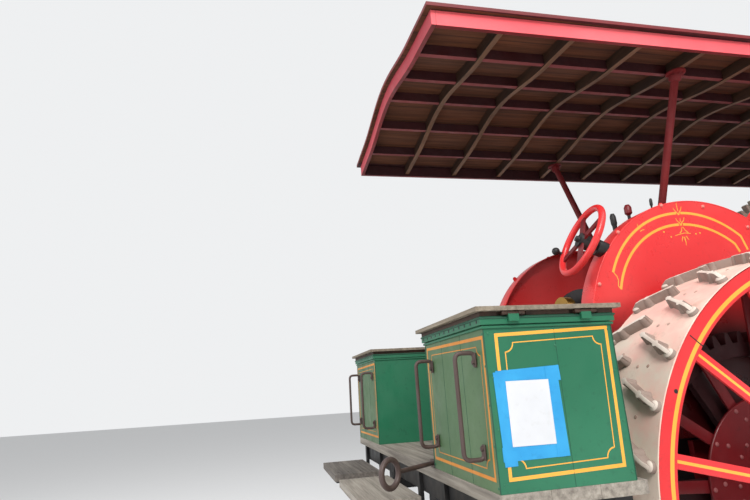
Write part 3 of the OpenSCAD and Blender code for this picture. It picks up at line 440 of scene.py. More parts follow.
# paint: name, colour, faded colour, dirt's colour; iron: name, colour, rust's colour; timber: name, light
# grain, dark grain, the axis it follows. What comes after these is as in the functions.
finishes = {
    "red": paint("redEnamel", (226, 48, 50), (232, 66, 66), (150, 40, 38), 0.3, 0.25),
    # painted shade on the guards' lower part, for the dark inside of the rear wheel
    "guardRed": paint("guardRed", (224, 48, 50), (230, 66, 66), (150, 40, 38), 0.3, 0.25,
                      paintedShade=(1.78, 2.02, (24, 6, 8))),
    "wheelRed": paint("wheelRed", (218, 43, 47), (228, 60, 62), (150, 48, 44), 0.36, 0.35),
    "boltRed": paint("boltRed", (226, 110, 100), (236, 150, 140), (140, 60, 50), 0.3, 0.5),
    "fasciaRed": paint("fasciaRed", (236, 88, 96), (240, 104, 110), (204, 76, 84), 0.45, 0.3, 1.2),
    # a darker copy of the fascia's red for its end faces: painted shade
    "fasciaEnd": paint("fasciaEnd", (170, 50, 62), (186, 66, 76), (120, 44, 50), 0.5, 0.4, 1.2),
    "postRed": paint("postRed", (104, 12, 16), (118, 20, 22), (64, 18, 16), 0.62, 0.4),
    "maroon": paint("maroon", (104, 14, 20), (122, 20, 26), (60, 18, 18), 0.4, 0.5),
    "maroonDark": paint("maroonDark", (48, 8, 12), (58, 12, 16), (34, 12, 12), 0.6, 0.5),
    # a lighter copy of the beams' maroon for their undersides: painted light from below
    "beamEdge": paint("beamEdge", (112, 46, 48), (128, 58, 58), (70, 30, 30), 0.6, 0.5),
    "green": paint("greenEnamel", (32, 104, 74), (42, 116, 84), (24, 70, 52), 0.36, 0.4, 1.6),
    # the bunkers' rear panels: a greyer green, partly dirt and partly painted shade
    "greenFaded": paint("greenFaded", (74, 106, 72), (88, 116, 80), (56, 78, 50), 0.42, 0.4, 1.8),
    "greenDark": paint("greenDark", (24, 74, 56), (30, 84, 62), (22, 46, 36), 0.5, 0.4),
    "gold": paint("goldLine", (238, 168, 60), (244, 180, 78), (200, 128, 44), 0.42, 0.35),
    "goldDull": paint("goldDull", (212, 134, 52), (224, 150, 66), (168, 108, 46), 0.5, 0.4),
    "black": paint("blackEnamel", (24, 24, 26), (34, 33, 34), (58, 50, 44), 0.42, 0.5, 3.0),
    "smokeBlack": paint("smokeBlack", (30, 29, 29), (44, 41, 39), (74, 58, 48), 0.7, 0.55, 3.0),
    "paper": paint("blankPaper", (214, 216, 220), (206, 208, 212), (188, 188, 186), 0.6, 0.3, 6.0, 0.05),
    "tape": paint("blueTape", (36, 146, 206), (48, 158, 214), (28, 118, 176), 0.5, 0.4, 8.0, 0.3),
    "iron": iron("oiledIron", (66, 58, 54), (92, 62, 46)),
    "rail": iron("railIron", (84, 69, 66), (68, 48, 42), 0.5, 0.7, 0.2),
    "gearEdge": iron("gearEdge", (128, 120, 110), (110, 78, 66), 0.6, 0.5, 0.2),
    "steel": iron("brightSteel", (170, 168, 164), (120, 104, 90), 0.3, 0.4, 0.9),
    "brass": iron("brassWork", (196, 152, 76), (140, 104, 52), 0.3, 0.4, 0.95),
    "rivet": iron("rivetHeads", (150, 84, 84), (104, 40, 40), 0.5, 0.7, 0.1),
    # the lugs' sides are darker than their tops: partly grime, partly painted shade
    "lug": iron("lugIron", (216, 202, 190), (196, 168, 154), 0.75, 0.65, 0.05),
    "lugSide": iron("lugSide", (154, 136, 126), (112, 92, 82), 0.85, 0.65, 0.05),
    "tread": wornTread(),
    "treadRust": iron("treadRust", (186, 156, 142), (150, 120, 106), 0.8, 0.6, 0.1),
    "deck": timber("deckTimber", (172, 164, 152), (112, 104, 96), 1),
    # a darker copy of the deck timber for the left step: painted shade
    "deckWorn": timber("deckWorn", (132, 124, 116), (74, 68, 64), 1),
    "lid": timber("lidTimber", (158, 146, 128), (104, 92, 78), 1),
    # the canopy's underside boards and ribs are darker than their own wood: painted shade under the roof; the
    # ribs' undersides take a lighter copy: painted light from below
    "roofBoards": timber("roofBoards", (104, 58, 30), (62, 32, 17), 0, 0.85, (1, 0.145)),
    "ribs": timber("ribTimber", (66, 40, 22), (40, 23, 13), 1, 0.6),
    "ribEdge": timber("ribEdge", (122, 84, 56), (84, 54, 34), 1, 0.6),
    # dark brown wood under the lids: the wood's own brown with painted shade
    "brownWood": timber("brownWood", (74, 48, 32), (42, 26, 18), 1, 0.6),
}
print("finishes made")


# Rear wheels

rearWheel = {
    "axleZ": 1.079, "rimR": 1.035, "innerY": -0.710, "outerY": -1.190, "ringInR": 0.949,
    "stripe": (0.964, 0.981), "plate": 0.014, "innerRing": 0.014, "outerRing": (0.005, 0.020),
    "chamfer": 0.003, "fillet": 0.004,
    # the groove between ring and tread, whose dark is painted shade: depth below the tread, distance from the
    # rim's outer edge
    "groove": ((0.0085, 0.0050), (0.0068, 0.0065), (0.0058, 0.0085), (0.0048, 0.0065), (0.0038, 0.0010),
               (0.0030, 0.0)),
    "treadDepth": 0.0042, "grooveDepth": 0.0070, "redDepth": 0.0205,  # where one finish gives way to the next
    "lugs": 30, "firstLug": 8.5, "slant": 28.7,
    "lugRows": ((-1.0772, 0.0, -1), (-0.8324, 0.5, 1)),  # y, shift in lug steps, which way they slant
    # y, shift in lug steps, degrees past the lug
    "rivetRows": ((-0.990, 0.0, 7.1), (-1.051, 0.0, 7.1), (-0.860, 0.5, 5.0), (-0.800, 0.5, 5.0)),
    "rivetSink": 0.0005,
    # a butt joint and a plain hole in the side ring, from the rim's outer edge
    "jointTurn": -48.1, "jointLow": (-0.0022, 0.0042, 0.950), "jointHigh": (0.0022, 0.0062, 1.017),
    "holeTurn": -61.5, "holeR": 0.991, "hole": ((0.0085, 0.0), (0.0085, 0.0012), (0.0070, 0.0016)),
}
lug = {
    "low": (-0.112, -0.0160, -0.002), "high": (0.110, 0.0160, 0.0425), "cuts": (-0.060, 0.0, 0.060, 0.084),
    "topShare": 0.52, "edge": 0.0022, "sides": 14,
    "drops": ((0.084, 0.003), (0.110, 0.020)),  # the top slopes at the light end: place along the bar, depth
    # cones cast on the bar: name, place along it, rows of (radius, height)
    "cones": (
        ("boss", 0.026,
         ((0.0275, -0.002), (0.0260, 0.004), (0.0185, 0.035), (0.0155, 0.0415), (0.0085, 0.0434))),
        ("head", -0.092, ((0.0245, -0.002), (0.0160, 0.036), (0.0135, 0.0415), (0.0070, 0.0428))),
        ("foot", 0.096, ((0.0235, -0.002), (0.0215, 0.014), (0.0160, 0.021), (0.0080, 0.024))),
    ),
}


def aroundWheel(angle, y=0.0, radius=0.0):  # on the wheel's own axis, angle from the top towards the front
    return Matrix.Rotation(math.radians(angle), 4, "Y") @ Matrix.Translation((0, y, radius))


def makeLug():
    bar = sliced(box("lug", lug["low"], lug["high"]), 0, lug["cuts"])
    middle = lug["high"][2] / 2
    choosing(bar, lambda c: c.z > middle)
    bpy.ops.transform.resize(value=(1, lug["topShare"], 1), center_override=(0, 0, 0))
    for x, depth in lug["drops"]:
        choosing(bar, lambda c: c.z > middle and abs(c.x - x) < 0.001)
        bpy.ops.transform.translate(value=(0, 0, -depth))
    backToObject()
    softEdges(bar, lug["edge"], 2, 30)
    cones = [turned(name, rows, centre=(x, 0, 0), sides=lug["sides"]) for name, x, rows in lug["cones"]]
    # the tops are worn pale iron; the sides are darker, partly grime and partly painted shade
    return painted(joined("lug", [bar] + cones), lambda c, normal: "lug" if normal.z > 0.55 else "lugSide")


def rimSection():
    w = rearWheel
    r, ringR, inner, outer = w["rimR"], w["ringInR"], w["innerY"], w["outerY"]
    c, f, plate = w["chamfer"], w["fillet"], r - w["plate"]
    innerBack = inner - w["innerRing"]
    ringFace, ringBack = [outer + depth for depth in w["outerRing"]]
    rows = [
        (r, outer + c), (r, inner - c), (r - c, inner), (ringR + c, inner), (ringR, inner - c),
        (ringR, innerBack + c), (ringR + c, innerBack), (plate - f, innerBack), (plate, innerBack - f),
        (plate, ringBack + f), (plate - f, ringBack), (ringR + c, ringBack), (ringR, ringBack - c),
        (ringR, ringFace + c), (ringR + c, ringFace), (w["stripe"][0], ringFace), (w["stripe"][1], ringFace),
    ]
    return rows + [(r - depth, outer + back) for depth, back in w["groove"]]


def rimRule(c, normal):
    w = rearWheel
    far = math.hypot(c.x, c.z)
    if normal.y < -0.9 and w["stripe"][0] < far < w["stripe"][1]:
        return "gold"
    if far > w["rimR"] - w["treadDepth"]:
        return "tread"
    # the groove is maroonDark and the faces inside the rim are maroon: both painted shade
    if c.y < w["outerY"] + w["redDepth"]:
        return "maroonDark" if far > w["rimR"] - w["grooveDepth"] else "wheelRed"
    return "maroon"


def makeRearRim(name):
    w = rearWheel
    r, outer, lugStep = w["rimR"], w["outerY"], 360 / w["lugs"]
    parts = [painted(turned("band", rimSection(), "Y", sides=180, loop=True), rimRule)]
    places = []
    for y, shift, side in w["lugRows"]:
        slant = Matrix.Rotation(math.radians(side * w["slant"]), 4, "Z")
        slant = slant @ Matrix.Rotation(-math.pi / 2, 4, "Z")
        if side > 0:  # the inner row's heavy end is towards the engine
            slant = slant @ Matrix.Rotation(math.pi, 4, "Z")
        places += [aroundWheel(w["firstLug"] + (k + shift) * lugStep, y, r) @ slant for k in range(w["lugs"])]
    parts.append(repeated("lugs", makeLug(), places))
    rivets = []
    for k in range(w["lugs"]):
        for y, shift, turn in w["rivetRows"]:
            rivets.append(aroundWheel(w["firstLug"] + (k + shift) * lugStep + turn, y, r - w["rivetSink"]))
    parts.append(dressed(repeated("rivets", dome(0.0085, 0.0035, 8), rivets), "treadRust"))
    edge = Vector((0, outer, 0))
    joint = box("joint", edge + Vector(w["jointLow"]), edge + Vector(w["jointHigh"]))
    joint.data.transform(aroundWheel(w["jointTurn"]))
    hole = turned("hole", w["hole"], "Y", (0, outer + w["jointLow"][1], 0), sides=14)
    hole.data.transform(aroundWheel(w["holeTurn"], 0, w["holeR"]))
    rim = joined(name, parts + [dressed(joint, "black"), dressed(hole, "black")])
    rim.data.transform(Matrix.Translation(place(0, 0, w["axleZ"])))
    return rim


rearHub = {
    # count, first angle, outer face, inner face, finish, radii of a spoke's four rivet heads
    # the inner row, the second, is maroon, a darker copy of the outer row's red: painted shade inside the
    # wheel
    "spokes": ((14, 1.1, -1.176, -1.162, "wheelRed", (0.965, 0.998, 0.250, 0.222)),
               (12, 3.8, -0.738, -0.724, "maroon", (0.965, 0.998, 0.387, 0.330))),
    "spokeHalf": 0.027, "spokeLow": 0.150, "spokeHigh": 1.012, "edge": 0.0022,
    "goldHalf": 0.0055, "goldLow": 0.300,
    # radius, outer face, inner face, finish, radius of its circle of rivets
    "discs": ((0.275, -1.190, -1.176, "wheelRed", 0.180), (0.408, -0.752, -0.738, "maroon", 0.250)),
    "discIn": 0.100, "discThick": 0.014, "headSide": 0.012, "discRivets": (24, 4),  # count, first angle
    # the hub's section: radius, y
    "hub": ((0.0625, -1.2020), (0.108, -1.2020), (0.114, -1.1985), (0.118, -1.1930), (0.130, -1.1900),
            (0.136, -1.1860), (0.130, -1.1600), (0.122, -1.1300), (0.122, -0.7900), (0.130, -0.7600),
            (0.130, -0.6080), (0.127, -0.6042), (0.0625, -0.6042)),
    "boltR": 0.086, "boltY": -1.2018, "bolts": (6, 30),  # count, first angle
}


def makeSpokes(count, first, outer, inner, key, headRadii):
    h = rearHub
    low, high = (-h["spokeHalf"], outer, h["spokeLow"]), (h["spokeHalf"], inner, h["spokeHigh"])
    spoke = box("spoke", low, high)
    striped = key == "wheelRed"
    if striped:
        sliced(spoke, 0, (-h["goldHalf"], h["goldHalf"]))
        sliced(spoke, 2, (h["goldLow"],))
    softEdges(spoke, h["edge"], 2)

    def spokeRule(c, normal):
        onLine = abs(c.x) < h["goldHalf"] and normal.y < -0.9 and c.z > h["goldLow"]
        return "gold" if striped and onLine else key

    painted(spoke, spokeRule)
    turns = [aroundWheel(angle) for angle in evenTurns(count, first)]
    heads = []
    for turn in turns:
        for k, radius in enumerate(headRadii):
            onRim = radius > 0.5
            face = inner if onRim else outer - h["discThick"]
            side = h["headSide"] if k % 2 else -h["headSide"]
            heads.append(turn @ aimed((side, face, radius), (0, 1 if onRim else -1, 0)))
    rivets = repeated("heads", dome(0.011, 0.006, 10), heads)
    return [repeated("spokes", spoke, turns), dressed(rivets, "wheelRed" if striped else "rivet")]


def makeDisc(radius, outer, inner, key, circle):
    start, rivets = rearHub["discIn"], rearHub["discRivets"]
    rows = [(start, outer), (radius - 0.003, outer), (radius, outer + 0.003), (radius, inner - 0.002),
            (radius - 0.002, inner), (start, inner)]
    disc = dressed(turned("disc", rows, "Y", sides=96, loop=True), key)
    spots = [aroundWheel(angle) @ aimed((0, outer, circle), (0, -1, 0)) for angle in evenTurns(*rivets)]
    return [disc, dressed(repeated("heads", dome(0.010, 0.006, 10), spots), "rivet")]


def makeRearHub(name):
    h = rearHub
    parts = []
    for row in h["spokes"]:
        parts += makeSpokes(*row)
    for row in h["discs"]:
        parts += makeDisc(*row)
    parts.append(dressed(turned("hub", h["hub"], "Y", sides=64, loop=True), "maroon"))
    bolt = aimed((0, h["boltY"], h["boltR"]), (0, -1, 0))
    spots = [aroundWheel(angle) @ bolt for angle in evenTurns(*h["bolts"])]
    parts.append(dressed(repeated("bolts", boltHead(0.011, 0.008), spots), "iron"))
    wheel = joined(name, parts)
    wheel.data.transform(Matrix.Translation(place(0, 0, rearWheel["axleZ"])))
    return wheel


bothSides(makeRearRim, "rear_rim_look", "rear_wheel", "rear_rim")
bothSides(makeRearHub, "rear_hub_look", "rear_wheel", "rear_hub")
print("rear wheels built")


# Gear guards: stripes, scrolls and bolts

guard = {
    "y": -0.600, "lineR": 0.0072, "scrollR": 0.0030,
    # the two gold arcs: middle x and z, radius, first and last angle, the gap's two angles, foot
    "arcs": ((-0.088, 1.924, 0.554, 156.8, 49.3, (94.2, 91.4), (0.299, 2.265)),
             (-0.093, 1.917, 0.494, 164.2, 50.7, (93.8, 90.8), (0.242, 2.252))),
    "bolts": ((-0.217, 2.520), (0.059, 2.519), (-0.524, 2.362), (0.335, 2.399), (-0.691, 2.080),
              (0.560, 2.250), (0.655, 2.010), (-0.715, 1.700), (-0.715, 1.400), (0.675, 1.700),
              (0.675, 1.400)),
    "dots": ((-0.193, 2.338), (-0.027, 2.356), (-0.234, 2.366), (0.001, 2.361), (-0.386, 2.386)),
    "dot": ((0.005, 0), (0.0048, 0.0004), (0.004, 0.0007)),
    "washer": ((0.016, 0), (0.016, 0.0012), (0.0152, 0.002), (0.012, 0.002)),
    "archX": -0.020, "archZ": 1.808, "archR": 0.7405, "archFoot": 1.305, "beadR": 0.0042, "beadIn": 0.002,
}
# each scroll: the line's points (x, z), its width at the start and at the end as shares
scrolls = (
    (((-0.143, 2.508), (-0.134, 2.490), (-0.122, 2.478), (-0.115, 2.467)), 0.5, 1.3),
    (((-0.086, 2.516), (-0.094, 2.498), (-0.107, 2.482), (-0.113, 2.467)), 0.5, 1.3),
    (((-0.111, 2.546), (-0.116, 2.528), (-0.114, 2.490)), 0.3, 0.9),
    (((-0.139, 2.446), (-0.131, 2.428), (-0.120, 2.420), (-0.114, 2.404)), 0.6, 1.3),
    (((-0.083, 2.452), (-0.090, 2.434), (-0.105, 2.422), (-0.112, 2.404)), 0.6, 1.3),
    (((-0.110, 2.448), (-0.113, 2.426)), 0.5, 1.0),
    (((-0.108, 2.396), (-0.115, 2.384), (-0.117, 2.374), (-0.131, 2.360)), 0.6, 1.0),
    (((-0.104, 2.396), (-0.094, 2.378), (-0.076, 2.362)), 0.6, 1.0),
    (((-0.166, 2.345), (-0.136, 2.353), (-0.100, 2.361), (-0.062, 2.358)), 0.6, 0.6),
    (((-0.118, 2.340), (-0.124, 2.326), (-0.128, 2.311)), 1.3, 0.4),
    (((-0.108, 2.338), (-0.105, 2.312), (-0.106, 2.288)), 1.4, 0.3),
    (((-0.095, 2.343), (-0.090, 2.333), (-0.081, 2.321)), 1.3, 0.4),
    (((-0.395, 2.412), (-0.391, 2.394), (-0.385, 2.382)), 0.5, 0.9),
    (((-0.355, 2.379), (-0.370, 2.376), (-0.384, 2.368)), 0.5, 0.9),
    (((-0.593, 2.140), (-0.578, 2.120), (-0.574, 2.098), (-0.580, 2.070), (-0.567, 2.052)), 0.8, 0.9),
)


def paintedLine(points, width, y, taper=(1.0, 1.0)):  # a flat stripe on a sheet that faces sideways
    return tube("line", [place(x, y, z) for x, z in points], width, sides=4, flatAxis=1, taper=taper)


def arcPoints(cx, cz, radius, first, last, steps):
    turns = [math.radians(first + (last - first) * k / steps) for k in range(steps + 1)]
    return [(cx + radius * math.cos(t), cz + radius * math.sin(t)) for t in turns]


def makeGuardTrim(name):
    g = guard
    y = g["y"] - seatGap
    parts = []
    for cx, cz, radius, first, last, gap, foot in g["arcs"]:
        parts.append(paintedLine(arcPoints(cx, cz, radius, first, gap[0], 28), g["lineR"], y))
        parts.append(paintedLine(arcPoints(cx, cz, radius, gap[1], last, 20) + [foot], g["lineR"], y))
    for points, first, last in scrolls:
        parts.append(paintedLine(points, g["scrollR"], y, (first, last)))
    spots = [aimed(place(x, y + 0.0002, z), (0, -1, 0)) for x, z in g["dots"]]
    parts.append(repeated("dots", turned("dot", g["dot"], sides=12), spots))
    trim = dressed(joined("stripes", parts), "gold")
    heads = [aimed(place(x, g["y"], z), (0, -1, 0)) for x, z in g["bolts"]]
    washers = repeated("washers", turned("washer", g["washer"], sides=20), heads)
    caps = repeated("caps", dome(0.0105, 0.0075, 14), [m @ Matrix.Translation((0, 0, 0.0018)) for m in heads])
    # a rolled bead round the arch, on the outer edge of the sheet
    arch = arcPoints(g["archX"], g["archZ"], g["archR"], 180, 0, 60)
    feet = [(g["archX"] + side * g["archR"], g["archFoot"]) for side in (-1, 1)]
    line = [place(x, g["y"] + g["beadIn"], z) for x, z in feet[:1] + arch + feet[1:]]
    bead = tube("bead", line, g["beadR"])
    return joined(name, [trim, dressed(washers, "red"), dressed(caps, "boltRed"), dressed(bead, "red")])


bothSides(makeGuardTrim, "guard_trim")
print("guards trimmed")


# Fuel bunkers: frames, cornice, seams and screws

bunker = {
    "back": -1.647, "front": -1.141, "out": -1.237, "in": -0.569, "top": 1.849,
    # the corners of the gold frames: x and z on the side, y and z on the back
    "sideFrame": ((-1.601, 1.784), (-1.163, 1.797), (-1.180, 1.325), (-1.607, 1.315)),
    "backFrame": ((-0.592, 1.787), (-1.221, 1.779), (-1.208, 1.313), (-0.592, 1.318)),
    "wideR": 0.0085, "narrowR": 0.0024, "frameGap": 0.029, "scoopR": 0.031,
    "slots": 12, "slotFirst": -1.216, "slotLast": -0.588, "slotZ": 1.834, "slotOut": 0.012,
    "slot": ((0.0062, 0), (0.0062, 0.0006), (0.0048, 0.0010)),
    "stripZ": 1.8125, "stripOut": 0.004, "stripR": 0.0055, "bandZ": 1.8435, "bandOut": 0.013, "bandR": 0.0040,
    "seamLow": 1.274, "seamHigh": 1.806, "seamHalf": 0.0008, "seamDepths": (0.0006, 0.001),
    "backSeams": (-0.79, -1.01), "sideSeam": -1.375,
    "cornerHalf": 0.0018, "cornerLow": 1.2745,
    # columns of screws: the places across the sheet, the heights
    "sideScrews": (((-1.630, -1.155), (1.30, 1.47, 1.64, 1.79)), ((-1.378,), (1.740, 1.803))),
    "backScrews": ((-1.225, -0.581), (1.29, 1.42, 1.55, 1.68, 1.79)),
}


def insetCorners(corners, gap):
    cx, cz = [sum(c[k] for c in corners) / 4 for k in (0, 1)]
    return [(c[0] + math.copysign(gap, cx - c[0]), c[1] + math.copysign(gap, cz - c[1])) for c in corners]


def scooped(corners, radius):  # a frame line whose corners curve inwards
    points = []
    for k, corner in enumerate(corners):
        c = Vector(corner)
        before = (Vector(corners[k - 1]) - c).normalized()
        after = (Vector(corners[(k + 1) % 4]) - c).normalized()
        for j in range(7):
            t = j / 6 * math.pi / 2
            points.append(tuple(c + radius * (before * math.cos(t) + after * math.sin(t))))
    return points


def framePair(name, corners, toSpot, axis, key):
    # a wide line, and inside it a narrow one with scooped corners
    b = bunker
    narrow = scooped(insetCorners(corners, b["frameGap"]), b["scoopR"])
    parts = []
    for points, radius in ((corners, b["wideR"]), (narrow, b["narrowR"])):
        parts.append(tube("line", [toSpot(*p) for p in points], radius, sides=4, flatAxis=axis, cyclic=True))
    return dressed(joined(name, parts), key)


def bunkerRing(out, z):  # four corners round the bunker, out from its walls
    x0, x1, y0, y1 = bunker["back"] - out, bunker["front"] + out, bunker["out"] - out, bunker["in"] + out
    return [place(x0, y0, z), place(x1, y0, z), place(x1, y1, z), place(x0, y1, z)]


def makeCornice():
    b = bunker
    spots = []
    for k in range(b["slots"]):
        y = b["slotFirst"] + (b["slotLast"] - b["slotFirst"]) * k / (b["slots"] - 1)
        spots.append(aimed(place(b["back"] - b["slotOut"], y, b["slotZ"]), (-1, 0, 0)))
        spots.append(aimed(place(b["front"] + b["slotOut"], y, b["slotZ"]), (1, 0, 0)))
    slots = dressed(repeated("slots", turned("slot", b["slot"], sides=12), spots), "black")
    strip = tube("strip", bunkerRing(b["stripOut"], b["stripZ"]), b["stripR"], cyclic=True)
    band = tube("band", bunkerRing(b["bandOut"], b["bandZ"]), b["bandR"], cyclic=True)
    return [slots, dressed(strip, "green"), dressed(band, "greenDark")]


def makeSeams():
    b = bunker
    low, high, half, (proud, sunk) = b["seamLow"], b["seamHigh"], b["seamHalf"], b["seamDepths"]
    seams = []
    x = b["back"]
    for y in b["backSeams"]:
        seams.append(box("seam", place(x - proud, y - half, low), place(x + sunk, y + half, high)))
    x, y = b["sideSeam"], b["out"]
    seams.append(box("seam", place(x - half, y - proud, low), place(x + half, y + sunk, high)))
    half = b["cornerHalf"]
    for x in (b["back"], b["front"]):
        for y in (b["out"], b["in"]):
            corner = box("corner", place(x - half, y - half, b["cornerLow"]), place(x + half, y + half, high))
            seams.append(softEdges(corner, 0.0008, 1))
    return dressed(joined("seams", seams), "greenDark")


def makeBunkerTrim(name):
    b = bunker
    outer, rear = b["out"] - seatGap, b["back"] - seatGap
    side = framePair("sideFrames", b["sideFrame"], lambda x, z: place(x, outer, z), 1, "gold")
    back = framePair("backFrames", b["backFrame"], lambda y, z: place(rear, y, z), 0, "goldDull")
    frames = joined("frames", [side, back])
    cornice = makeCornice()
    seams = makeSeams()
    spots = []
    for across, heights in b["sideScrews"]:
        spots += [aimed(place(x, b["out"], z), (0, -1, 0)) for x in across for z in heights]
    across, heights = b["backScrews"]
    spots += [aimed(place(b["back"], y, z), (-1, 0, 0)) for y in across for z in heights]
    screws = dressed(repeated("screws", dome(0.0052, 0.0022, 10), spots), "green")
    return joined(name, [frames] + cornice + [seams, screws])


bothSides(makeBunkerTrim, "bunker_trim")


# A blank sheet on the near bunker, held by four strips of tape

notice = {
    # middle (x, z), size, turn, of the paper and of each tape
    "paper": ((-1.5060, 1.520), (0.161, 0.212), -0.3),
    "tapes": (((-1.497, 1.641), (0.242, 0.052), 2.4), ((-1.507, 1.393), (0.236, 0.045), 0.4),
              ((-1.602, 1.506), (0.046, 0.304), 1.4), ((-1.407, 1.520), (0.046, 0.298), 1.0)),
    "paperOut": 0.0022, "paperThick": 0.0006, "tapeOut": 0.0004, "tapeThick": 0.0005,
    "cuts": (-0.42, -0.3, -0.12, 0.05, 0.21, 0.37, 0.46),  # shares of a strip's length
}


def flatStrip(name, middle, size, turn, y, depth):
    strip = box(name, (-size[0] / 2, y - depth, -size[1] / 2), (size[0] / 2, y, size[1] / 2))
    sliced(strip, 0 if size[0] > size[1] else 2, [share * max(size) for share in notice["cuts"]])
    lean = Matrix.Rotation(math.radians(-turn), 4, "Y")
    strip.data.transform(Matrix.Translation(place(middle[0], 0, middle[1])) @ lean)
    return strip


def makeNotice(name):
    s = notice
    paper = flatStrip("paper", *s["paper"], bunker["out"] - s["paperOut"], s["paperThick"])
    tapes = []
    for k, tape in enumerate(s["tapes"]):  # each lies on the one before
        tapes.append(flatStrip("tape", *tape, bunker["out"] - s["tapeOut"] * (k + 1), s["tapeThick"]))
    return joined(name, [dressed(paper, "paper"), dressed(joined("tapes", tapes), "tape")])


finished(makeNotice("blank_notice"), "root")


# Dark brown rails under the lids, wood darkened with painted shade, nails, and the hand rails behind the
# bunkers

lid = {
    "railLow": 0.0004, "railHigh": 0.0170, "railWide": 0.018, "railOut": 0.0110, "railOutY": 0.0105,
    "hinges": ((-1.594, -1.480), (-1.308, -1.194)),  # where the outer rail is broken
    "nailZ": 0.033, "nail": (0.0042, 0.0012),
    # rows of nails: places along the engine, places across it
    "nails": (((-1.66, -1.13), (-1.25, -1.10, -0.98, -0.83, -0.70, -0.56)),
              ((-1.52, -1.27), (-1.253, -0.553))),
}


def makeLidTrim(name):
    b, v = bunker, lid
    low, high, wide = b["top"] + v["railLow"], b["top"] + v["railHigh"], v["railWide"]
    x0, x1 = b["back"] - v["railOut"], b["front"] + v["railOut"]
    y0, y1 = b["out"] - v["railOutY"], b["in"] + v["railOut"]
    parts = [box("rail", place(x0, y0, low), place(x0 + wide, y1, high))]
    parts.append(box("rail", place(x1 - wide, y0, low), place(x1, y1, high)))
    parts.append(box("rail", place(x0 + wide, y1 - wide, low), place(x1 - wide, y1, high)))
    ends = [x0 + wide] + [x for hinge in v["hinges"] for x in hinge] + [x1 - wide]
    for first, last in zip(ends[::2], ends[1::2]):
        parts.append(box("rail", place(first, y0, low), place(last, y0 + wide, high)))
    # the rails' dark brown is partly painted shade
    rails = dressed(softEdges(joined("rails", parts), 0.0010, 1), "brownWood")
    spots = []
    for along, across in v["nails"]:
        spots += [aimed(place(x, y, b["top"] + v["nailZ"]), (0, 0, 1)) for x in along for y in across]
    return joined(name, [rails, dressed(repeated("nails", dome(*v["nail"], 8), spots), "iron")])


handRail = {
    "ys": (-0.660, -1.149), "out": -1.727, "low": 1.372, "high": 1.732, "tail": 0.036, "r": 0.0080,
    "bend": 0.026, "standOff": 0.0006, "barIn": 0.006,
    "footHalf": 0.0110, "footThick": 0.0095, "footIn": 0.024, "footDown": 0.028, "footUp": 0.024,
    "boltOut": 0.0100, "boltUp": 0.010, "boltSpin": 0.3,  # spin in radians
}


def makeHandRail(y):
    h = handRail
    x, low, high = bunker["back"] - h["standOff"], h["low"], h["high"]
    near, far, tail = x - h["barIn"], h["out"], h["tail"]
    line = [(near, low + tail), (near, low), (far, low), (far, high), (near, high), (near, high - tail)]
    parts = [tube("rail", [place(along, y, z) for along, z in line], h["r"], corner=h["bend"], sides=10)]
    for z, towards in ((low + h["footIn"], 1), (high - h["footIn"], -1)):
        footLow = place(x - h["footThick"], y - h["footHalf"], z - h["footDown"])
        foot = box("foot", footLow, place(x - h["standOff"], y + h["footHalf"], z + h["footUp"]))
        bolt = boltHead(0.0085, 0.0065)
        spot = place(x - h["boltOut"], y, z + towards * h["boltUp"])
        bolt.data.transform(aimed(spot, (-1, 0, 0), h["boltSpin"]))
        parts += [softEdges(foot, 0.004, 3), bolt]
    return joined("handrail", parts)


bothSides(makeLidTrim, "lid_trim", "lid")
rails = [makeHandRail(y) for y in handRail["ys"]]
rails += [mirrored(r, "handrail") for r in rails]
finished(dressed(joined("hand_rails", rails), "rail"), "root", ["grab_rails"])
print("bunkers trimmed")


# Boiler bands, smokebox, chimney and dome details

boiler = {
    "axisZ": 1.720, "r": 0.430, "bands": (0.56, 0.95, 1.80, 2.40), "bandHalf": 0.028, "bandSink": 0.004,
    "bandEdge": 0.0022, "bandOut": 0.0034, "bandCorner": 0.0015,
    "clipHalf": 0.012, "clipIn": 0.002, "clipOut": 0.012,
    "domeX": 1.480, "domeZ": 2.424, "ringIn": 0.2290, "ringEdge": 0.2330, "ringOut": 0.2350,
    "ringHalf": (0.018, 0.014),
    # stay bolts on the firebox's sides and back
    "sideY": 0.440, "sideXs": (0.30, 0.38), "sideZs": (1.02, 1.14, 1.26, 1.38, 1.50, 1.62),
    "backX": -0.440, "backYs": (-0.36, -0.27, 0.27, 0.36), "backZs": (1.00, 1.12, 1.24, 1.36),
}
smokebox = {
    "r": 0.448, "rivetXs": (2.668, 3.235), "rivets": 48, "ringX": 3.280, "ringR": 0.432,
    "ringBolts": (24, 7.5), "ringSpin": 0.2, "hingeSide": 0.9, "chimneyX": 2.950,
    "neckBolts": 10, "neckBoltR": 0.187, "neckBoltZ": 2.208, "neckStep": 0.6283,  # spin and step in radians
    "neck": ((0.148, 2.206), (0.172, 2.206), (0.172, 2.214), (0.164, 2.224), (0.1565, 2.236), (0.148, 2.236)),
    "lip": ((0.226, 3.168), (0.2335, 3.170), (0.2350, 3.176), (0.2350, 3.192), (0.2320, 3.1985),
            (0.226, 3.1995)),
}
# rows are radius and distance out from the door's face, at x, and the grip's are along its own length
smokeDoor = {
    "x": 3.304, "rivets": 32, "rivetR": 0.357, "rivetOut": 0.0058,
    "gripOut": 0.070, "gripTurn": 0.5,  # turn in radians
    "ring": ((0.340, -0.001), (0.374, -0.001), (0.374, 0.003), (0.370, 0.006), (0.344, 0.006),
             (0.340, 0.003)),
    "boss": ((0.018, 0.052), (0.024, 0.054), (0.026, 0.062), (0.026, 0.078), (0.022, 0.0845),
             (0.018, 0.0855)),
    "grip": ((0.006, -0.105), (0.0105, -0.098), (0.0105, -0.080), (0.0075, -0.070), (0.0090, 0.0),
             (0.0075, 0.070), (0.0105, 0.080), (0.0105, 0.098), (0.006, 0.105)),
}


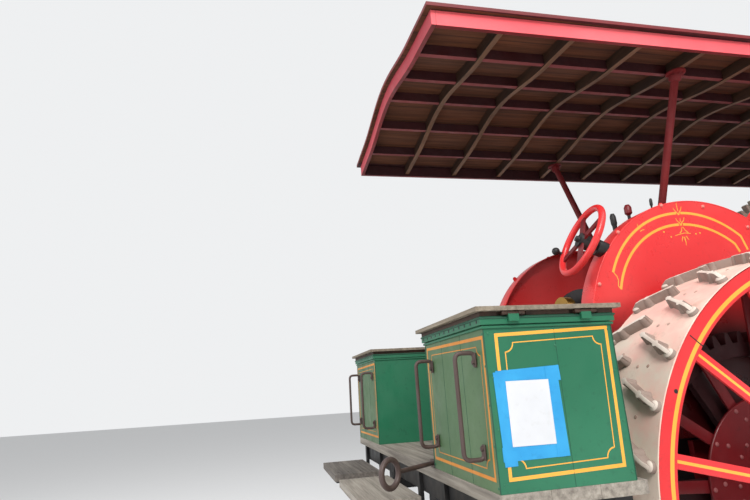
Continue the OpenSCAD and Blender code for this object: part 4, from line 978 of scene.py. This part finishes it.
def aroundBoiler(angle, x, radius):  # angle from the top towards the near side
    middle = Matrix.Translation(place(x, 0, boiler["axisZ"]))
    return middle @ Matrix.Rotation(math.radians(angle), 4, "X") @ Matrix.Translation((0, 0, radius))


def onFront(x, radius, turn, spin=0.0):  # on the smokebox's front, turn in radians from the top
    spot = place(x, -radius * math.sin(turn), boiler["axisZ"] + radius * math.cos(turn))
    return aimed(spot, (1, 0, 0), spin)


def makeBoilerTrim(name):
    b = boiler
    r, h, parts = b["r"], b["bandHalf"], []
    half = h - b["bandCorner"]
    sunk, edge, top = r - b["bandSink"], r + b["bandEdge"], r + b["bandOut"]
    for x in b["bands"]:
        rows = [(sunk, -h), (edge, -h), (top, -half), (top, half), (edge, h), (sunk, h)]
        parts.append(dressed(turned("band", rows, "X", place(x, 0, b["axisZ"]), 96, True), "brass"))
        clip = box("clip", (-h, -b["clipHalf"], r - b["clipIn"]), (h, b["clipHalf"], r + b["clipOut"]))
        softEdges(clip, 0.003, 2)
        clip.data.transform(aroundBoiler(180, x, 0))
        parts.append(dressed(clip, "iron"))
    inner, edge, outer, (h, half) = b["ringIn"], b["ringEdge"], b["ringOut"], b["ringHalf"]
    rows = [(inner, -h), (edge, -h), (outer, -half), (outer, half), (edge, h), (inner, h)]
    parts.append(dressed(turned("ring", rows, "Z", place(b["domeX"], 0, b["domeZ"]), 72, True), "brass"))
    stays = []
    for side in (-1, 1):
        y = side * b["sideY"]
        stays += [aimed(place(x, y, z), (0, side, 0)) for x in b["sideXs"] for z in b["sideZs"]]
    stays += [aimed(place(b["backX"], y, z), (-1, 0, 0)) for y in b["backYs"] for z in b["backZs"]]
    parts.append(dressed(repeated("stays", dome(0.011, 0.0045, 8), stays), "black"))
    return joined(name, parts)


def makeSmokeboxTrim(name):
    s = smokebox
    spots = [aroundBoiler(angle, x, s["r"]) for x in s["rivetXs"] for angle in evenTurns(s["rivets"])]
    rivets = repeated("rivets", dome(0.0095, 0.0045, 8), spots)
    turns = [math.radians(angle) for angle in evenTurns(*s["ringBolts"])]
    turns = [t for t in turns if math.sin(t) > -s["hingeSide"]]  # none beside the hinge
    bolts = [onFront(s["ringX"], s["ringR"], t, s["ringSpin"]) for t in turns]
    for k in range(s["neckBolts"]):
        x, y = [s["neckBoltR"] * part(k * s["neckStep"]) for part in (math.cos, math.sin)]
        bolts.append(aimed(place(s["chimneyX"] + x, y, s["neckBoltZ"]), (0, 0, 1), k))
    heads = repeated("bolts", boltHead(0.0100, 0.0075), bolts)
    centre = place(s["chimneyX"], 0, 0)
    neck = turned("neck", s["neck"], "Z", centre, 64, True)
    lip = turned("lip", s["lip"], "Z", centre, 72, True)
    return joined(name, [dressed(part, "smokeBlack") for part in (rivets, heads, neck, lip)])


def makeDoorTrim(name):
    d = smokeDoor
    x, centre = d["x"], place(0, 0, boiler["axisZ"])
    ring = turned("ring", [(r, x + out) for r, out in d["ring"]], "X", centre, 96, True)
    turns = [math.radians(angle) for angle in evenTurns(d["rivets"])]
    spots = [onFront(x + d["rivetOut"], d["rivetR"], t) for t in turns]
    rivets = repeated("rivets", dome(0.0075, 0.0035, 8), spots)
    grip = turned("grip", d["grip"], sides=14)
    middle = Matrix.Translation(place(x + d["gripOut"], 0, boiler["axisZ"]))
    grip.data.transform(middle @ Matrix.Rotation(d["gripTurn"], 4, "X"))
    boss = turned("boss", [(r, x + out) for r, out in d["boss"]], "X", centre, 20, True)
    handle = dressed(joined("handle", [grip, boss]), "steel")
    return joined(name, [dressed(ring, "smokeBlack"), dressed(rivets, "smokeBlack"), handle])


finished(makeBoilerTrim("boiler_trim"), "root")
finished(makeSmokeboxTrim("smokebox_trim"), "root")
finished(makeDoorTrim("door_trim"), "smokebox_door")
print("boiler and smokebox trimmed")


# Front wheels

frontWheel = {
    "x": 2.950, "z": 0.560, "r": 0.560, "innerY": -0.575, "outerY": -0.805, "hubY": -0.825,
    # collar on the hub, and side rings: radius, distance out of the face
    "collar": ((0.0420, -0.001), (0.0420, 0.006), (0.0440, 0.008), (0.0700, 0.008), (0.0740, 0.004),
               (0.0760, -0.001)),
    "ring": ((0.5440, 0.0), (0.5580, 0.0), (0.5580, 0.0012), (0.5560, 0.0024), (0.5460, 0.0024),
             (0.5440, 0.0012)),
    "boltR": 0.058, "boltOut": 0.0078, "rivetYs": (-0.605, -0.775), "rivetSink": 0.0004,
    "bolts": (6, 15), "rivets": (24, 7.5),  # count, first angle
    "treadR": 0.5585, "hubR": 0.082,  # where the tread starts, and where the black hub ends
}


def makeFrontTrim(name):
    w = frontWheel
    collar = turned("collar", [(r, w["hubY"] - out) for r, out in w["collar"]], "Y", loop=True)
    bolt = aimed((0, w["hubY"] - w["boltOut"], w["boltR"]), (0, -1, 0))
    bolts = [aroundWheel(angle) @ bolt for angle in evenTurns(*w["bolts"])]
    parts = [dressed(collar, "black"), dressed(repeated("bolts", boltHead(0.0075, 0.006), bolts), "iron")]
    r, turns = w["r"] - w["rivetSink"], evenTurns(*w["rivets"])
    rivets = [aroundWheel(angle, y, r) for angle in turns for y in w["rivetYs"]]
    parts.append(dressed(repeated("rivets", dome(0.0085, 0.0028, 8), rivets), "treadRust"))
    for y, side, key in ((w["outerY"], -1, "gold"), (w["innerY"], 1, "wheelRed")):
        rows = [(r, y + side * out) for r, out in w["ring"]]
        parts.append(dressed(turned("ring", rows, "Y", sides=120, loop=True), key))
    wheel = joined(name, parts)
    wheel.data.transform(Matrix.Translation(place(w["x"], 0, w["z"])))
    return wheel


bothSides(makeFrontTrim, "front_wheel_trim", "front_wheel")
print("front wheels trimmed")


# Cylinder, steps and canopy posts

cylinder = {
    "y": 0.430, "z": 2.600, "coverX": 2.350, "coverBoltR": 0.158, "coverBolts": (12, 15),
    "chestXs": (2.020, 2.105, 2.190, 2.275), "chestYs": (0.222, 0.378), "chestZ": 2.700,
    "bandXs": (2.010, 2.140, 2.270), "bandIn": 0.148, "bandEdge": 0.1512, "bandOut": 0.1524,
    "bandHalf": (0.016, 0.0145),
    "cover": ((0.120, 2.3492), (0.120, 2.354), (0.112, 2.360), (0.060, 2.364), (0.0010, 2.3645)),
}


def makeCylinderTrim(name):
    c = cylinder
    y, z, spots = c["y"], c["z"], []
    for k, angle in enumerate(evenTurns(*c["coverBolts"])):
        t = math.radians(angle)
        spot = place(c["coverX"], y + c["coverBoltR"] * math.sin(t), z + c["coverBoltR"] * math.cos(t))
        spots.append(aimed(spot, (1, 0, 0), k))
    for x in c["chestXs"]:
        spots += [aimed(place(x, across, c["chestZ"]), (0, 0, 1), x * 9) for across in c["chestYs"]]
    bolts = dressed(repeated("bolts", boltHead(0.0095, 0.0080), spots), "steel")
    inner, edge, outer, (h, half) = c["bandIn"], c["bandEdge"], c["bandOut"], c["bandHalf"]
    rows = [(inner, -h), (edge, -h), (outer, -half), (outer, half), (edge, h), (inner, h)]
    bands = [turned("band", rows, "X", place(x, y, z), 64, True) for x in c["bandXs"]]
    cover = dressed(turned("cover", c["cover"], "X", place(0, y, z)), "maroon")
    return joined(name, [bolts, dressed(joined("bands", bands), "brass"), cover])


post = {
    "foot": (0.010, -0.110, 2.020), "head": (0.010, -0.672, 3.3317),
    "flangeZ": 3.3267, "boltR": 0.040, "bolts": (4, 45),
    "collar": ((0.0225, 0.010), (0.0330, 0.012), (0.0330, 0.040), (0.0300, 0.046), (0.0225, 0.048)),
}


def makePostTrim(name):
    p = post
    x, y, spots = p["head"][0], p["head"][1], []
    for t in [math.radians(angle) for angle in evenTurns(*p["bolts"])]:
        spot = place(x + p["boltR"] * math.cos(t), y + p["boltR"] * math.sin(t), p["flangeZ"])
        spots.append(aimed(spot, (0, 0, -1), t))
    bolts = repeated("bolts", boltHead(0.0070, 0.0065), spots)
    along = (Vector(p["foot"]) - Vector(p["head"])).normalized()
    collar = turned("collar", p["collar"], sides=24, loop=True)
    collar.data.transform(aimed(place(*p["head"]), along))
    return joined(name, [dressed(bolts, "postRed"), dressed(collar, "postRed")])


rearStep = {
    "top": 1.120, "nailXs": (-1.915, -1.850, -1.770, -1.695), "bearerYs": (0.630, 1.080), "nailHalf": 0.008,
    "leftY": 0.12,  # the left step starts past this
}


def makeStepNails(name):
    ys = [y + side * rearStep["nailHalf"] for y in rearStep["bearerYs"] for side in (-1, 1)]
    spots = [aimed(place(x, y, rearStep["top"]), (0, 0, 1)) for x in rearStep["nailXs"] for y in ys]
    return dressed(repeated(name, dome(0.0055, 0.0014, 8), spots), "iron")


finished(makeCylinderTrim("cylinder_trim"), "root")
bothSides(makePostTrim, "post_trim")
bothSides(makeStepNails, "step_nails", sides=("left", "right"))
print("cylinder, posts and steps trimmed")


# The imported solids: a rule for each that has more than one finish. A rule gets a face's middle and normal.

canopy = {"endX": (-1.5955, 2.4295), "sideY": 0.921, "underY": 0.89, "underX": (-1.57, 2.40), "roofY": 0.922}
handwheel = {
    "middle": Vector((-0.717, -0.550, 2.329)), "axis": Vector((0.888, -0.109, -0.447)).normalized(),
    "hubR": 0.042, "shaftR": 0.150, "shaftStart": -0.019, "rimR": 0.170,
}
bunkerEdge = {"corniceTop": 1.8495, "panelTop": 1.82, "railTop": 1.8655}
towRing = {"z": 1.2725, "barX": -1.662, "barZ": 1.215}
lever = {"x": -0.267, "half": 0.045, "gripZ": 2.528}
gear = {"x": 0.782, "z": 2.188, "redR": 0.432}


def fasciaRule(c, normal):
    low, high = canopy["endX"]
    # the end faces take a darker copy of the fascia red: painted shade
    if abs(normal.x) > 0.9 and not low <= c.x <= high:
        return "fasciaEnd"
    if abs(normal.y) > 0.9 and abs(c.y) > canopy["sideY"]:
        return "fasciaRed"
    if normal.z < -0.7:
        low, high = canopy["underX"]
        # the beams' undersides take a lighter copy of their maroon: painted light from below
        return "maroon" if abs(c.y) > canopy["underY"] or not low <= c.x <= high else "beamEdge"
    return "maroonDark"


def roofRule(c, normal):
    if normal.z < -0.5:
        # the overhang's underside beyond the fascia is darker: painted shade
        return "maroonDark" if abs(c.y) > canopy["roofY"] else "roofBoards"
    # the top and edges are maroon; on the edges this dark is painted shade
    return "maroon"


def ribRule(c, normal):
    # the ribs' undersides take a lighter copy of their timber: painted light from below
    return "ribEdge" if normal.z < -0.6 else "ribs"


def handRule(c, normal):
    h = handwheel
    along = (c - h["middle"]).dot(h["axis"])
    out = (c - h["middle"] - h["axis"] * along).length
    if out > h["shaftR"] and along < h["shaftStart"]:
        return "black"
    # the spokes are maroon, a darker copy of the rim's red: painted shade
    return "red" if out > h["rimR"] else "black" if out < h["hubR"] else "maroon"


def bunkerRule(c, normal):
    if c.z > bunkerEdge["corniceTop"]:  # the hinges' knuckles reach above the cornice; they take the rails' dark brown: painted shade
        return "brownWood"
    # the rear panels are greyer: partly dirt, partly painted shade
    return "greenFaded" if normal.x < -0.9 and c.z < bunkerEdge["panelTop"] else "green"


def lidRule(c, normal):
    # the battens under the lid board take the same dark brown: painted shade
    return "brownWood" if c.z < bunkerEdge["railTop"] else "lid"


def stepRule(c, normal):  # the left step takes a darker copy of the deck timber: painted shade
    return "deckWorn" if c.y > rearStep["leftY"] else "deck"


def platformFrameRule(c, normal):  # the ring and its bar are bare iron
    t = towRing
    return "rail" if c.z > t["z"] or c.x < t["barX"] and c.z > t["barZ"] else "black"


def leverRule(c, normal):
    return "maroon" if abs(c.x - lever["x"]) < lever["half"] and c.z > lever["gripZ"] else "black"


def frontWheelRule(c, normal):
    out = math.hypot(c.x - frontWheel["x"], c.z - frontWheel["z"])
    if out > frontWheel["treadR"] and abs(normal.y) < 0.5:
        return "tread"
    return "black" if out < frontWheel["hubR"] else "wheelRed"


def gearRule(c, normal):
    out = math.hypot(c.x - gear["x"], c.z - gear["z"])
    return "red" if abs(normal.y) > 0.9 and out < gear["redR"] else "gearEdge"


nodeFinishes = {  # a finish, or a rule
    "boiler": "black", "smokebox": "smokeBlack", "smokebox_door": "smokeBlack", "chimney": "smokeBlack",
    "steam_dome": "black", "backhead_fittings": "brass", "fire_door": "iron", "rear_axle": "maroon",
    "gear_guard_right": "guardRed", "gear_guard_left": "guardRed", "countershaft": "iron",
    "pinion_right": "iron", "pinion_left": "iron", "rear_rim_right": "wheelRed", "rear_rim_left": "wheelRed",
    "rear_hub_right": "maroon", "rear_hub_left": "maroon", "bull_gear_right": "maroonDark",
    "bull_gear_left": "maroonDark", "front_pedestal": "black", "front_axle": "black",
    "front_wheel_right": frontWheelRule, "front_wheel_left": frontWheelRule, "steering_chains": "iron",
    "steering_roller": "iron", "steering_brackets": "black", "handwheel": handRule, "engine_frame": "maroon",
    "intermediate_gear": gearRule, "rear_steps": stepRule, "cylinder": "maroon", "connecting_rod": "steel",
    "crankshaft": "steel", "flywheel": "red", "control_levers": leverRule, "platform": "deck",
    "platform_frame": platformFrameRule, "bunker_right": bunkerRule, "bunker_left": bunkerRule,
    "lid_right": lidRule, "lid_left": lidRule, "grab_rails": "rail", "hitch": "black",
    "canopy_roof": roofRule, "canopy_fascia": fasciaRule, "canopy_ribs": ribRule, "canopy_posts": "postRed",
}
solid = {"weld": 0.0001, "edge": 0.002, "edgeSteps": 2, "edgeAngle": 40}
shift = Vector((originX, 0, 0))
for name, look in nodeFinishes.items():
    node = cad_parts[name]
    if callable(look):
        world, turn = node.matrix_world, node.matrix_world.to_3x3()
        painted(node, lambda c, normal: look(world @ c + shift, turn @ normal))
    else:
        dressed(node, look)
    weld = node.modifiers.new("weld", "WELD")
    weld.merge_threshold = solid["weld"]
    edges = node.modifiers.new("edges", "BEVEL")
    edges.width = solid["edge"]
    edges.segments = solid["edgeSteps"]
    edges.limit_method = "ANGLE"
    edges.angle_limit = math.radians(solid["edgeAngle"])
print("solids dressed")


# Ground, backdrop, light and camera

studio = {
    "floor": (0.78, 0.78, 0.78, 1), "floorRough": 0.95, "backdrop": (0.86, 0.87, 0.88, 1),
    "skyLight": (0.97, 0.985, 1.0, 1), "skyStrength": 0.62,
    # name, place, what it is aimed at, size, power, colour
    "lamps": (("key", (-4.0, -8.6, 9.0), (-0.6, -0.6, 1.4), 4.0, 930, (1.0, 0.985, 0.96)),
              ("fill", (-9.0, 1.0, 5.0), (-1.0, 0, 1.4), 5.0, 210, (0.96, 0.98, 1.0)),
              ("sky", (1.0, -2.0, 9.0), (0.5, 0, 1.0), 8.0, 380, (1, 1, 1))),
    # the camera's place, and which way its picture's right, its bottom and its view point
    "eye": (-3.131, -2.940, 1.631), "right": (0.97625, -0.20869, -0.05811),
    "down": (-0.00143, 0.26201, -0.96506), "onward": (0.21663, 0.94223, 0.25549),
    "lens": 24.98, "sensor": 36.0,
}


def makeFloor():
    clearSelection()
    bpy.ops.mesh.primitive_plane_add(size=60, location=(6, 6, 0))
    floor = bpy.context.object
    floor.name = "floor"
    n = Nodes("floorPaper")
    n.shader.inputs["Base Color"].default_value = studio["floor"]
    n.shader.inputs["Roughness"].default_value = studio["floorRough"]
    floor.data.materials.append(n.material)


def makeBackdrop():  # the camera sees a plain pale colour, and the object is lit by another
    world = bpy.data.worlds.new("studio")
    bpy.context.scene.world = world
    world.use_nodes = True
    tree = world.node_tree
    tree.nodes.clear()
    kinds = ("OutputWorld", "MixShader", "LightPath", "Background", "Background")
    output, blend, rays, seen, lit = [tree.nodes.new("ShaderNode" + kind) for kind in kinds]
    seen.inputs["Color"].default_value = studio["backdrop"]
    lit.inputs["Color"].default_value = studio["skyLight"]
    lit.inputs["Strength"].default_value = studio["skyStrength"]
    tree.links.new(rays.outputs["Is Camera Ray"], blend.inputs[0])
    tree.links.new(lit.outputs[0], blend.inputs[1])
    tree.links.new(seen.outputs[0], blend.inputs[2])
    tree.links.new(blend.outputs[0], output.inputs[0])


def makeLamp(name, location, target, size, power, colour):
    light = bpy.data.lights.new(name, "AREA")
    light.shape = "DISK"
    light.size = size
    light.energy = power
    light.color = colour
    obj = bpy.data.objects.new(name, light)
    bpy.context.scene.collection.objects.link(obj)
    obj.location = location
    obj.rotation_euler = (Vector(target) - Vector(location)).to_track_quat("-Z", "Y").to_euler()


def makeCamera():
    lens = bpy.data.cameras.new("camera")
    lens.sensor_width = studio["sensor"]
    lens.lens = studio["lens"]
    lens.clip_end = 200
    camera = bpy.data.objects.new("camera", lens)
    bpy.context.scene.collection.objects.link(camera)
    right, down, onward = Vector(studio["right"]), Vector(studio["down"]), Vector(studio["onward"])
    turn = Matrix((right, -down, -onward)).transposed()
    camera.matrix_world = Matrix.Translation(studio["eye"]) @ turn.to_4x4()
    bpy.context.scene.camera = camera


makeFloor()
makeBackdrop()
for row in studio["lamps"]:
    makeLamp(*row)
makeCamera()
bpy.context.scene.view_settings.view_transform = "Standard"
print("stage set")

bpy.context.view_layer.update()
